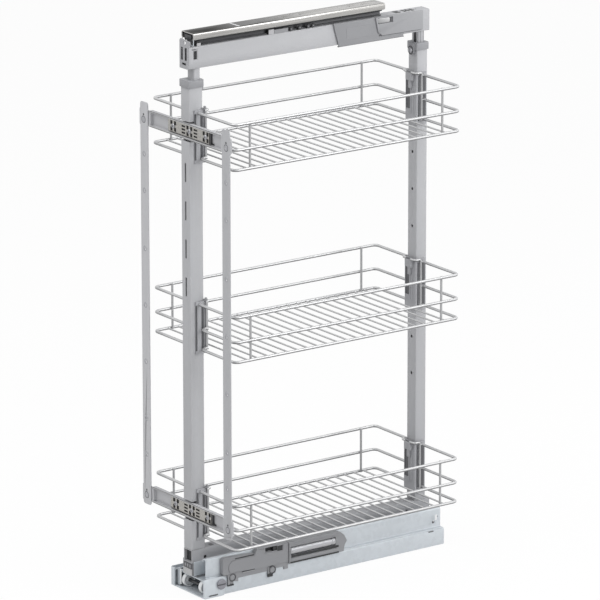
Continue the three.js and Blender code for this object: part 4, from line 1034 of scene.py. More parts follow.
def rounded(corners: Sequence[Point3], radii: Sequence[float], steps: int) -> list[Point3]:
    """A path through corners with its inner corners rounded.

    Args:
        corners: the corner points in millimetres.
        radii: the bend radius of each inner corner.
        steps: points in each bend.

    Returns:
        The points of the path.
    """
    path: list[Vector] = [Vector(corners[0])]
    for i in range(1, len(corners) - 1):
        corner = Vector(corners[i])
        back = (Vector(corners[i - 1]) - corner).normalized()
        ahead = (Vector(corners[i + 1]) - corner).normalized()
        half = math.acos(max(-1.0, min(1.0, back.dot(ahead)))) / 2
        radius = radii[(i - 1) % len(radii)]
        centre = corner + (back + ahead).normalized() * (radius / math.sin(half))
        start = corner + back * (radius / math.tan(half)) - centre
        end = corner + ahead * (radius / math.tan(half)) - centre
        sweep = start.angle(end)
        for step in range(steps + 1):
            share = step / steps
            a = math.sin((1 - share) * sweep) / math.sin(sweep)
            b = math.sin(share * sweep) / math.sin(sweep)
            path.append(start * a + end * b + centre)
    path.append(Vector(corners[-1]))
    return [tuple(p) for p in path]


def join_objects(name: str, parts: Sequence[Object]) -> Object:
    """Joins objects at the origin into one.

    Args:
        name: the result's name.
        parts: the objects; all but the result are removed.

    Returns:
        The joined object.
    """
    bm = bmesh.new()
    for part in parts:
        bm.from_mesh(part.data)
    joined = Bench.new_object(name, bm)
    joined.data.shade_smooth()
    joined.data.set_sharp_from_angle(angle=WIRE_SHARP)
    for part in parts:
        bpy.data.objects.remove(part)
    return joined


# ---------------------------------------------------------------- sub-assemblies

@dataclass
class SubAssembly:
    """What every sub-assembly has: the bench that its pieces are made on."""

    bench: Bench


@dataclass
class Basket(SubAssembly):
    """One hung wire basket: a floor grille, three rims, stays and hook rods."""

    name: str
    level: float
    width: float = 237.2
    length: float = 461.4
    rim_radius: float = 2.5
    rim_sides: int = 16
    stay_radius: float = 2.0
    stay_sides: int = 14
    cross_radius: float = 1.5
    cross_sides: int = 12
    corner: float = 9.0
    end_bend: float = 12.0
    rim_steps: int = 8
    front_bends: Point2 = (2.4, 2.4)
    rear_bends: Point2 = (3.5, 6.0)
    rod_steps: int = 6
    mid_rise: float = 34.0
    top_rise: float = 76.5
    foot_drop: float = 1.2
    stay_over: float = 1.6
    stay_run: float = 197.0
    stay_bite: float = 0.35
    cross_bite: float = 0.6
    cross_pitch: float = 20.35
    cross_count: int = 21
    hook_x: float = 18.2
    hook_y: float = 213.1
    hook_rise: float = 4.5
    hook_end: float = 6.5
    front_rod_y: float = -218.1
    rear_rod_y: float = 225.4
    stub_x: float = 16.6
    rear_end_x: float = 17.2
    bead_radius: float = 2.1
    bead_height: float = 0.75

    def _rim(self, rise: float, is_top: bool = False) -> list[list[Point3]]:
        """The two halves of a rim.

        Args:
            rise: its height over the bottom rim.
            is_top: whether its front ends run straight on to the brackets.

        Returns:
            One path for each half.
        """
        z = self.level + rise
        x, y = self.width / 2, self.length / 2
        halves = []
        for side in (-1, 1):
            corners: list[Point3] = [
                (side * self.stub_x, -y, z), (side * x, -y, z), (side * x, y, z),
                (side * self.rear_end_x, y, z)]
            radii = [self.corner, self.corner]
            if not is_top:
                rod = side * self.hook_x
                corners = [(rod, self.front_rod_y + self.stay_radius, z), (rod, -y, z), *corners[1:]]
                radii = [self.end_bend, *radii]
            halves.append(rounded(corners, radii, self.rim_steps))
        return halves

    def _stays(self) -> list[list[Point3]]:
        """The four straight stays between the rims.

        Returns:
            The path of each stay.
        """
        x = self.width / 2 - self.rim_radius - self.stay_radius + self.stay_bite
        ends = (self.level - self.foot_drop, self.level + self.top_rise + self.stay_over)
        return [[(side * x, end * self.stay_run, z) for z in ends] for side in (-1, 1) for end in (-1, 1)]

    def _rods(self) -> list[list[Point3]]:
        """The four hook rods, bent over at the top to hang in the brackets.

        Returns:
            The path of each rod.
        """
        foot = self.level - self.foot_drop
        top = self.level + self.top_rise + self.hook_rise
        rods = []
        for side in (-1, 1):
            x, end = side * self.hook_x, side * self.hook_end
            for start, way, bends in (
                    (self.front_rod_y, -1, self.front_bends), (self.rear_rod_y, 1, self.rear_bends)):
                rods.append(rounded([
                    (x, way * abs(start), foot), (x, way * abs(start), top), (x, way * self.hook_y, top),
                    (end, way * self.hook_y, top)], bends, self.rod_steps))
        return rods

    def _welds(self) -> list[Point3]:
        """Where the stays and rods are welded to the rims.

        Returns:
            The middle of each weld.
        """
        points: list[Point3] = []
        inner = self.width / 2 - self.rim_radius
        rises = (self.mid_rise, self.top_rise)
        for side in (-1, 1):
            points += [(side * inner, end * self.stay_run, self.level + rise)
                       for end in (-1, 1) for rise in rises]
            points.append((side * self.hook_x, self.front_rod_y, self.level + self.mid_rise))
            points += [(side * self.hook_x, self.rear_rod_y + self.stay_radius, self.level + rise)
                       for rise in rises]
        return points

    def _wires(self, name: str, paths: list[list[Point3]], radius: float, sides: int) -> Object:
        """Round wires along paths.

        Args:
            name: the object's name.
            paths: the points of each wire.
            radius: the wires' radius in millimetres.
            sides: facets round each wire.

        Returns:
            The object.
        """
        return self.bench.round_wire.run(name, self.bench.path_mesh(name, paths), {
            "Radius": radius * MM, "Sides": sides, "Finish": self.bench.shop.material(WIRE_LACQUER)})

    def _beads(self) -> Object:
        """A flattened weld bead at every joint.

        Returns:
            One object with all the beads.
        """
        bead = bmesh.new()
        bmesh.ops.create_icosphere(bead, subdivisions=2, radius=self.bead_radius * MM)
        bmesh.ops.scale(bead, verts=bead.verts, vec=(1.0, 1.0, self.bead_height))
        part = self.bench.ease(self.bench.new_object("weld_bead", bead), 0.0)
        return self.bench.scatter(self._welds(), [(part, WIRE_LACQUER)])[0][0]

    def _cross_wires(self) -> Object:
        """The cross wires of the floor.

        Returns:
            One object with all the wires.
        """
        reach = self.width / 2 - self.rim_radius + self.cross_bite
        first = -(self.cross_count - 1) / 2 * self.cross_pitch
        return self.bench.grille.run("cross", bpy.data.meshes.new("cross"), {
            "Count": self.cross_count, "Start": (0.0, first * MM, self.level * MM),
            "Pitch": (0.0, self.cross_pitch * MM, 0.0), "Reach": (reach * MM, 0.0, 0.0),
            "Radius": self.cross_radius * MM, "Sides": self.cross_sides,
            "Finish": self.bench.shop.material(WIRE_LACQUER)})

    def build(self) -> None:
        """Builds and seats the sides and the floor."""
        body = f"{self.name}_basket"
        rims = self._rim(self.mid_rise) + self._rim(self.top_rise, is_top=True)
        sides = join_objects(f"{body}_wires", [
            self._wires("rims", rims, self.rim_radius, self.rim_sides),
            self._wires("stays", self._stays() + self._rods(), self.stay_radius, self.stay_sides),
            self._beads()])
        self.bench.seat(sides, body, WIRE_LACQUER, [f"{body}_sides"])
        floor = join_objects(f"{body}_grille", [
            self._cross_wires(), self._wires("rim", self._rim(0.0), self.rim_radius, self.rim_sides)])
        self.bench.seat(floor, body, WIRE_LACQUER, [f"{body}_floor"])


class Place(Enum):
    """An end of the frame: the Y of its upright's inner face, the way inward, its dark recesses."""

    FRONT = ("front", -220.0, 1, ((-7.0, -2.0), (-19.0, -15.0)))
    REAR = ("rear", 220.0, -1, ((-19.0, -8.8), (-3.2, -0.8)))

    def __init__(self, label: str, face: float, inward: int, recesses: tuple[Point2, ...]) -> None:
        """Keeps the end's values under names.

        Args:
            label: the word for the end in node names.
            face: the Y of the upright's inner face.
            inward: the sign of Y towards the middle of the unit.
            recesses: depths between which each dark recess lies.
        """
        self.label = label
        self.face = face
        self.inward = inward
        self.recesses = recesses

    def y(self, depth: float) -> float:
        """The Y that lies a depth inward of the upright's inner face."""
        return self.face + self.inward * depth


@dataclass
class HungBracket(SubAssembly):
    """A moulded bracket that clasps an upright and carries a basket's hooks."""

    basket: str
    level: float
    place: Place
    grip: float = 12.7
    half_width: float = 15.4
    depth: float = 18.0
    nose: float = 3.4
    below: float = 9.0
    above: float = 81.5
    back: float = 0.3
    overrun: float = 1.0
    floor: float = 13.7
    skin: float = 0.25
    liner_gaps: Point2 = (0.2, 0.1)
    recess: Point2 = (-3.4, 75.4)
    window_x: Point2 = (-14.4, -3.0)
    window_rise: Point2 = (15.6, 64.6)
    window_depth: float = 1.4
    window_liner: Point2 = (2.0, 2.2)
    cradle_half: float = 8.5
    cradle_reach: float = 9.0
    cradle_top: float = 78.6
    cradle_depth: float = 12.0
    lip: Point2 = (1.6, 1.6)
    neck_half: float = 4.0
    neck_drop: Point2 = (26.0, 11.0)
    ribs_x: Point2 = (0.5, 7.5)
    rib_half: float = 0.7
    rib_rise: Point2 = (8.0, 60.0)
    knob: tuple[Point2, Point2] = ((14.6, 18.6), (-0.8, 3.2))
    knob_rise: float = 6.0

    def _box(self, xs: Point2, depths: Point2, rises: Point2) -> Box:
        """Two corners of a block given by X, depth inward and rise over the bottom rim.

        Args:
            xs: where it begins and ends in X.
            depths: the same in depth inward of the upright's inner face.
            rises: the same in height over the bottom rim.

        Returns:
            The two corners.
        """
        return ((xs[0], self.place.y(depths[0]), self.level + rises[0]),
                (xs[1], self.place.y(depths[1]), self.level + rises[1]))

    def _body(self) -> list[Part]:
        """The clasp, hollowed for the upright, with its dark recesses and window.

        Returns:
            The body and the dark liners, each with its finish.
        """
        over, half = self.overrun, self.half_width
        body = self.bench.solid("body", [self._box(
            (-half, half), (-self.depth, self.nose), (-self.below, self.above))])
        hollows = [self._box((-self.grip, self.grip), (-self.depth - over, self.back),
                             (-self.below - over, self.above + over))]
        # The dark liners stand for the bracket's dark plastic and also paint the shade deep in its side
        # recesses and its window.
        liners = []
        for side in (-1, 1):
            for span in self.place.recesses:
                hollows.append(self._box((side * self.floor, side * (half + over)), span, self.recess))
                inset = (max(span[0], -self.depth + self.liner_gaps[0]), span[1] - self.liner_gaps[1])
                liners.append(self._box(
                    (side * self.floor, side * (self.floor + self.skin)), inset, self.recess))
        hollows.append(self._box(self.window_x, (self.window_depth, self.nose + over), self.window_rise))
        liners.append(self._box(self.window_x, self.window_liner, self.window_rise))
        self.bench.cut(body, hollows, bevel=0.4)
        return [(body, BRACKET_MOULDING), (self.bench.solid("liners", liners), SHADE_MOULDING)]

    def _cradle(self) -> Object:
        """The shelf that the hooks lie in, with its raised lip and its neck.

        Returns:
            The object.
        """
        half, reach, top = self.cradle_half, self.cradle_reach, self.cradle_top
        root = self.nose - 0.5
        return self.bench.solid("cradle", [
            self._box((-half, half), (root, reach), (top - self.cradle_depth, top)),
            self._box((-half, half), (reach - self.lip[0], reach + 0.01), (top - 1.0, top + self.lip[1])),
            self._box((-self.neck_half, self.neck_half), (root, self.nose + 3.0),
                      (top - self.neck_drop[0], top - self.neck_drop[1])),
        ], 0.5)

    def build(self) -> None:
        """Builds and seats the bracket."""
        name = f"{self.basket}_{self.place.label}_bracket"
        body, liners = self._body()
        rib_depths = (self.nose - 0.3, self.nose + 0.7)
        ribs = self.bench.solid("ribs", [
            self._box((x - self.rib_half, x + self.rib_half), rib_depths, self.rib_rise)
            for x in self.ribs_x], 0.2)
        parts = [body, (self._cradle(), BRACKET_MOULDING), (ribs, BRACKET_MOULDING), liners]
        if self.place is Place.FRONT:
            knob = self._box(*self.knob, (self.above - 1, self.above + self.knob_rise))
            parts.append((self.bench.solid("knob", [knob], 1.2), GREY_MOULDING))
        self.bench.assemble(f"{name}_moulding", parts, "frame", [name])


@dataclass
class DoorFixing(SubAssembly):
    """What is seen in one door channel: its rolled lips, the plate with its bolts, the strip screws."""

    name: str
    height: float
    lip_reach: float = 107.3
    lip_y: Point2 = (-247.0, -246.1)
    lip_rises: tuple[Point2, ...] = ((11.0, 13.95), (-13.95, -11.0))
    plate_x: Point2 = (-55.0, 64.0)
    plate_half: float = 10.5
    plate_front: float = -243.3
    plate_rear: float = -240.3
    window: Point2 = (3.1, 3.2)
    window_spots: tuple[Point2, ...] = ((-5.4, -5.5), (-5.4, 5.5), (5.4, -5.5), (5.4, 5.5))
    slit: Point2 = (5.2, 1.5)
    slit_spots: tuple[Point2, ...] = (
        (-17.5, -5.6), (-17.5, 0.0), (-17.5, 5.6), (17.5, -5.6), (17.5, 0.0), (17.5, 5.6))
    cut_depth: float = 2.2
    boss_half: Point2 = (12.0, 7.0)
    channel_rear: float = -238.5
    bolts_x: tuple[float, ...] = (-40.0, 7.0, 54.0)
    bolt_radius: float = 4.4
    bolt_recess: Point2 = (2.2, 0.5)
    screw_x: float = 120.0
    screw_drop: float = -4.0
    strip_front: float = -248.5
    screw: tuple[Point2, ...] = ((4.9, 0.2), (4.9, -0.15), (4.4, -0.42), (2.1, -0.45), (1.8, -0.1), (0, -0.1))
    screw_seat: tuple[Point2, ...] = ((5.0, 0.15), (5.0, -0.03), (6.2, -0.03), (6.2, 0.15))
    eye: tuple[Point2, ...] = ((1.9, 0.15), (1.9, -0.03), (0, -0.03))
    eye_rise: float = 8.6

    def _lips(self) -> None:
        """The channel's folded front edges."""
        front, rear = self.lip_y
        # The lips take the brighter wire lacquer, which also paints the highlight along the channel's folded
        # edges.
        lips = self.bench.solid("lips", [
            ((-self.lip_reach, front, self.height + low), (self.lip_reach, rear, self.height + high))
            for low, high in self.lip_rises], 0.3)
        self.bench.assemble(f"{self.name}_channel_lips", [(lips, WIRE_LACQUER)], "door_mount")

    def _opening(self, x: float, rise: float, half: Point2) -> Box:
        """A block that cuts an opening of half sizes X and Z into the plate's front.

        Args:
            x: its middle in X.
            rise: its height over the middle of the plate.
            half: half of its width and of its height.

        Returns:
            Two of its corners.
        """
        z = self.height + rise
        return ((x - half[0], self.plate_front - 1, z - half[1]),
                (x + half[0], self.plate_front + self.cut_depth, z + half[1]))

    def _bolt(self, x: float) -> tuple[Part, Part]:
        """A domed bolt head and the cross in it.

        Args:
            x: the X of the bolt.

        Returns:
            The head and the cross, each with its finish.
        """
        rim, front, z = self.bolt_radius, self.plate_front, self.height
        long, short = self.bolt_recess
        head = self.bench.lathe("head", [
            (rim, 0.4), (rim, -0.7), (rim - 0.6, -1.35), (rim - 1.8, -1.75), (0, -1.8)],
            (x, front, z), Axis.Y, 28)
        # A black cross paints the shade in each bolt head's recess.
        cross = self.bench.solid("recess", [
            ((x - long, front - 1.84, z - short), (x + long, front - 1.5, z + short)),
            ((x - short, front - 1.85, z - long), (x + short, front - 1.5, z + long))])
        return (head, ZINC_SCREW), (cross, BLACK_MOULDING)

    def _plate(self) -> None:
        """The chrome plate, its windows with a black sheet behind them, its three bolts and a black L at its
        end that paints the shade of the opening there.
        """
        z, half, front, rear = self.height, self.plate_half, self.plate_front, self.plate_rear
        low, high = self.plate_x
        plate = self.bench.solid("plate", [((low, front, z - half), (high, rear, z + half))])
        openings = [self._opening(x + dx, dz, self.window)
                    for x in self.bolts_x for dx, dz in self.window_spots]
        openings += [self._opening(self.bolts_x[1] + dx, dz, self.slit) for dx, dz in self.slit_spots]
        self.bench.cut(plate, openings, bevel=0.3)
        # A black sheet behind the windows paints the shade seen through them.
        liner = self.bench.solid("liner", [
            ((low + 2, front + 1.9, z - half + 1.5), (high - 2, front + 2.15, z + half - 1.5))])
        across, up = self.boss_half
        boss = self.bench.solid("boss", [
            ((-across, rear - 0.5, z - up), (across, self.channel_rear, z + up))])
        heads, crosses = zip(*(self._bolt(x) for x in self.bolts_x))
        # A black L beside the plate's end paints the shade of the opening there.
        stop = self.bench.solid("stop", [
            ((high + 1.0, front + 0.6, z - half + 0.4), (high + 5.4, rear, z + half - 1.0)),
            ((high - 0.5, front + 1.8, z - half + 0.4), (high + 11.0, rear, z - half + 3.0))], 0.3)
        self.bench.assemble(f"{self.name}_plate_and_bolts", [
            (plate, CHROME_PLATE), (boss, CHROME_PLATE), *heads, (liner, BLACK_MOULDING),
            (stop, BLACK_MOULDING), *crosses], "frame", [f"{self.name}_adjusting_plate"])

    def _screws(self) -> None:
        """The screws that hold the two strips to the channel's tabs."""
        here = (0, 0, 0)
        # The dark seat ring round each screw and the black dot above it paint the shade in a ring groove and
        # in a small hole.
        parts = self.bench.scatter(
            [(side * self.screw_x, self.strip_front, self.height + self.screw_drop) for side in (-1, 1)],
            [(self.bench.lathe("screw", self.screw, here, Axis.Y, 26), ZINC_SCREW),
             (self.bench.lathe("seat", self.screw_seat, here, Axis.Y, 26, ring=True), SHADE_MOULDING),
             (self.bench.lathe("eye", self.eye, (0, 0, self.eye_rise), Axis.Y, 18), BLACK_MOULDING)])
        self.bench.assemble(f"{self.name}_strip_screws", parts, "door_mount")

    def build(self) -> None:
        """Builds and seats the fixing's pieces."""
        self._lips()
        self._plate()
        self._screws()


@dataclass
class Roller(SubAssembly):
    """A turned plastic roller with a grey hub."""

    node: str
    body: str
    centre: Point3
    radius: float
    width: float
    tyre: float = 2.2
    shoulder: float = 0.8
    bore: float = 3.1
    collar: float = 5.2
    hub: float = 5.8

    def build(self) -> None:
        """Builds and seats the roller."""
        half, r = self.width / 2, self.radius
        web = half - min(1.6, half * 0.5)
        rim, edge, end = r - self.tyre, self.shoulder, half - 0.2
        tyre = self.bench.lathe("tyre", [
            (rim, -web), (rim + 0.4, -half), (r - edge, -half), (r, -half + edge), (r, half - edge),
            (r - edge, half), (rim + 0.4, half), (rim, web)], self.centre, Axis.X, 44, ring=True)
        hub = self.bench.lathe("hub", [
            (self.bore, -end), (self.collar, -end), (self.hub, -web), (rim + 0.1, -web), (rim + 0.1, web),
            (self.hub, web), (self.collar, end), (self.bore, end)], self.centre, Axis.X, 44, ring=True)
        self.bench.assemble(
            f"{self.node}_turned", [(tyre, WHITE_ROLLER), (hub, PALE_HUB)], self.body, [self.node])


@dataclass
class SlottedScrew(SubAssembly):
    """A screw with a turned head and a straight slot."""

    node: str
    body: str
    centre: Point3
    axis: Axis
    way: int
    radius: float
    height: float
    shank: float
    shank_reach: float
    slot: Point2 = (1.6, 1.4)
    finish: Finish = ZINC_SCREW

    def _slot_box(self, runs: Point2, long: float, half: float) -> Box:
        """A block that lies along the slot.

        Args:
            runs: where it begins and ends along the screw.
            long: half of its length.
            half: half of its width.

        Returns:
            Two of its corners.
        """
        low, high = sorted(self.way * run for run in runs)
        x, y, z = self.centre
        if self.axis is Axis.X:
            return (x + low, y - long, z - half), (x + high, y + long, z + half)
        return (x - half, y + low, z - long), (x + half, y + high, z + long)

    def build(self) -> None:
        """Builds and seats the screw."""
        r, top = self.radius, self.height
        wide, deep = self.slot
        floor = top - deep
        profile = [
            (0, -self.shank_reach), (self.shank, -self.shank_reach), (self.shank, 0), (r - 0.3, 0), (r, 0.3),
            (r, top - 0.9), (r - 0.3, top - 0.35), (r - 0.9, top), (r * 0.55, top), (0, top)]
        head = self.bench.lathe(
            "head", [(radius, self.way * run) for radius, run in profile], self.centre, self.axis, 40)
        self.bench.cut(head, [self._slot_box((floor, top + 1), r + 1, wide / 2)], bevel=0.0)
        # A dark sheet on the slot's floor paints the shade in the slot.
        liner = self.bench.solid("liner", [
            self._slot_box((floor - 0.02, floor + 0.1), r * 0.9, wide / 2 - 0.05)])
        self.bench.assemble(
            f"{self.node}_turned", [(head, self.finish), (liner, SHADE_MOULDING)], self.body, [self.node])


@dataclass
class SoftClose(SubAssembly):
    """The soft-close unit on the near side: housing relief, clips, damper tube and cradle bars."""

    relief_x: Point2 = (49.6, 51.1)
    relief: tuple[Point2, ...] = (
        (-195.5, 37.0), (-199.0, 43.0), (-198.5, 51.0), (-193.0, 56.5), (-184.0, 58.4), (-145.5, 58.4),
        (-142.5, 66.8), (-125.6, 66.8), (-125.6, 57.4), (-87.0, 57.4), (-87.0, 67.4), (-77.0, 67.4),
        (-77.0, 34.4), (-110.0, 34.4), (-137.0, 33.6), (-146.0, 34.2), (-172.5, 36.6))
    clips: tuple[Point3, ...] = ((49.7, -191.0, 28.6), (49.7, -108.5, 26.2))
    clip: tuple[Point2, ...] = ((5.6, -1.0), (5.6, 0.9), (6.0, 1.3), (6.9, 1.3), (7.3, 0.8), (7.3, -1.0))
    boss: tuple[Point2, ...] = ((5.0, -1.0), (5.0, 0.6), (4.4, 1.1), (0, 1.1))
    hooks: tuple[Blocks, ...] = (Blocks("hooks", GREY_MOULDING, 0.4, (
        ((48.8, -200.2, 17.0), (50.6, -196.4, 34.0)), ((48.8, -117.4, 20.6), (50.4, -114.6, 32.0)))),)
    details: tuple[Blocks, ...] = (
        # The pale shelf also paints the highlight along the housing's ledge.
        Blocks("shelf", PALE_MOULDING, 0.3, (((50.5, -170.6, 32.6), (51.5, -146.0, 34.3)),)),
        # Black strips paint the shade in the housing's slits, one of them under the ledge.
        Blocks("slit", BLACK_MOULDING, 0.0, (
            ((49.7, -185.5, 59.6), (50.35, -146.0, 61.4)), ((50.6, -171.0, 34.4), (51.25, -145.6, 35.8)),
            ((50.2, -98.0, 57.6), (50.4, -88.0, 66.2)))),
        Blocks("feet", BLACK_MOULDING, 0.3, (
            ((48.6, -200.7, 14.4), (51.0, -188.4, 16.9)), ((48.6, -118.0, 15.2), (51.0, -108.0, 20.4)))),
        Blocks("back", BLACK_MOULDING, 0.0, (((43.35, -124.6, 59.6), (43.55, -99.2, 66.0)),)))
    tube_y: Point2 = (-71.4, 22.0)
    tube_place: Point3 = (46.9, 0.0, 52.0)
    tube_radius: float = 6.6
    tube_edge: float = 1.2
    groove: tuple[Point2, ...] = ((0.0, 6.5), (0.8, 7.2), (0.8, 9.0), (0.0, 9.7))
    bore: Point2 = (2.6, 40.0)
    bar: tuple[Point2, ...] = ((0, 29.0), (3.2, 29.0), (4.4, 27.8), (4.4, -68.8), (3.2, -70.0), (0, -70.0))
    bar_place: Point3 = (48.4, 0.0, 36.2)
    bar_details: tuple[Blocks, ...] = (
        Blocks("rim", GREY_MOULDING, 0.3, (((51.8, -69.5, 60.6), (52.5, 26.0, 62.2)),)),
        # Black strips above and below the lower bar paint the shadow in the gaps there.
        Blocks("slot", BLACK_MOULDING, 0.0, (
            ((51.7, -70.5, 40.8), (52.15, 28.5, 44.6)), ((51.7, -72.5, 30.5), (52.1, 29.0, 33.2)))))

    def build(self) -> None:
        """Builds and seats the pieces."""
        make = self.bench
        relief = make.plate("relief", self.relief, self.relief_x, Axis.X, 0.6, segments=3)
        rings = [(make.lathe("clip", self.clip, place, Axis.X, 30, ring=True), SHADE_MOULDING)
                 for place in self.clips]
        bosses = [(make.lathe("boss", self.boss, place, Axis.X, 30), GREY_MOULDING)
                  for place in self.clips]
        make.assemble("soft_close_relief", [
            (relief, GREY_MOULDING), *rings, *make.solids(self.hooks), *bosses, *make.solids(self.details)],
            "cabinet_side")
        self._tube()
        bar = make.lathe("bar", self.bar, self.bar_place, Axis.Y, 36)
        make.assemble(
            "damper_cradle_bars", [(bar, GREY_MOULDING), *make.solids(self.bar_details)], "cabinet_side")

    def _tube(self) -> None:
        """The damper's tube, rolled in near its rear end and bored for the piston rod."""
        (front, rear), (bore, depth) = self.tube_y, self.bore
        r, edge = self.tube_radius, self.tube_edge
        tube = self.bench.lathe("tube", [
            (0, rear), (r - edge, rear), (r, rear - edge),
            *((r - drop, rear - run) for drop, run in self.groove), (r, front + edge), (r - edge, front),
            (bore, front), (bore, front + depth), (0, front + depth)],
            self.tube_place, Axis.Y, 44)
        self.bench.assemble("damper_tube_turned", [(tube, DAMPER_TUBE)], "cabinet_side", ["damper_cylinder"])


@dataclass
class TopBeamEnd(SubAssembly):
    """The open front of the top beam: its end plate, the black insert behind it and the side window."""

    plate_y: Point2 = (-249.0, -247.3)
    outline: tuple[Point2, ...] = (
        (-12.0, 906.7), (12.0, 906.7), (12.0, 943.7), (18.0, 946.7), (18.0, 954.7), (-9.0, 956.7),
        (-12.0, 953.7))
    cuts: tuple[tuple[Point2, Point2], ...] = (
        ((-7.8, -2.4), (921.0, 942.6)), ((3.2, 8.8), (921.0, 942.6)), ((-4.6, 6.6), (912.8, 916.6)),
        ((-0.5, 6.2), (948.0, 952.6)))
    insert: tuple[Blocks, ...] = (Blocks("insert", SHADE_MOULDING, 0.0, (
        ((-9.8, -245.5, 909.5), (9.8, -243.0, 941.2)), ((-0.9, -246.6, 917.5), (0.9, -245.0, 941.0)))),)
    surround: Box = ((10.3, -242.0, 920.0), (11.5, -229.0, 941.2))
    surround_cuts: tuple[Box, ...] = (((9.0, -237.0, 922.4), (13.0, -230.2, 936.6)), *(
        ((9.0, y - 0.8, 937.8), (13.0, y + 0.8, 940.0)) for y in (-239.4, -236.9, -234.4, -231.9)))
    back: tuple[Blocks, ...] = (Blocks("back", BLACK_MOULDING, 0.0, (
        ((9.4, -241.5, 920.5), (9.8, -229.5, 940.7)), ((-6.0, 184.0, 940.2), (6.0, 229.0, 941.0)))),)

    def build(self) -> None:
        """Builds and seats the pieces."""
        low, high = self.plate_y
        plate = self.bench.plate("plate", self.outline, self.plate_y, Axis.Y)
        self.bench.cut(plate, [((left, low - 1, down), (right, high + 1, up))
                               for (left, right), (down, up) in self.cuts], bevel=0.35)
        self.bench.assemble("top_front_plate", [(plate, SHADED_STEEL), *self.bench.solids(self.insert)],
                            "top_assembly", ["top_front_cap"])
        surround = self.bench.solid("surround", [self.surround])
        self.bench.cut(surround, self.surround_cuts, bevel=0.2)
        self.bench.assemble(
            "top_beam_window", [(surround, SATIN_STEEL), *self.bench.solids(self.back)], "top_assembly")


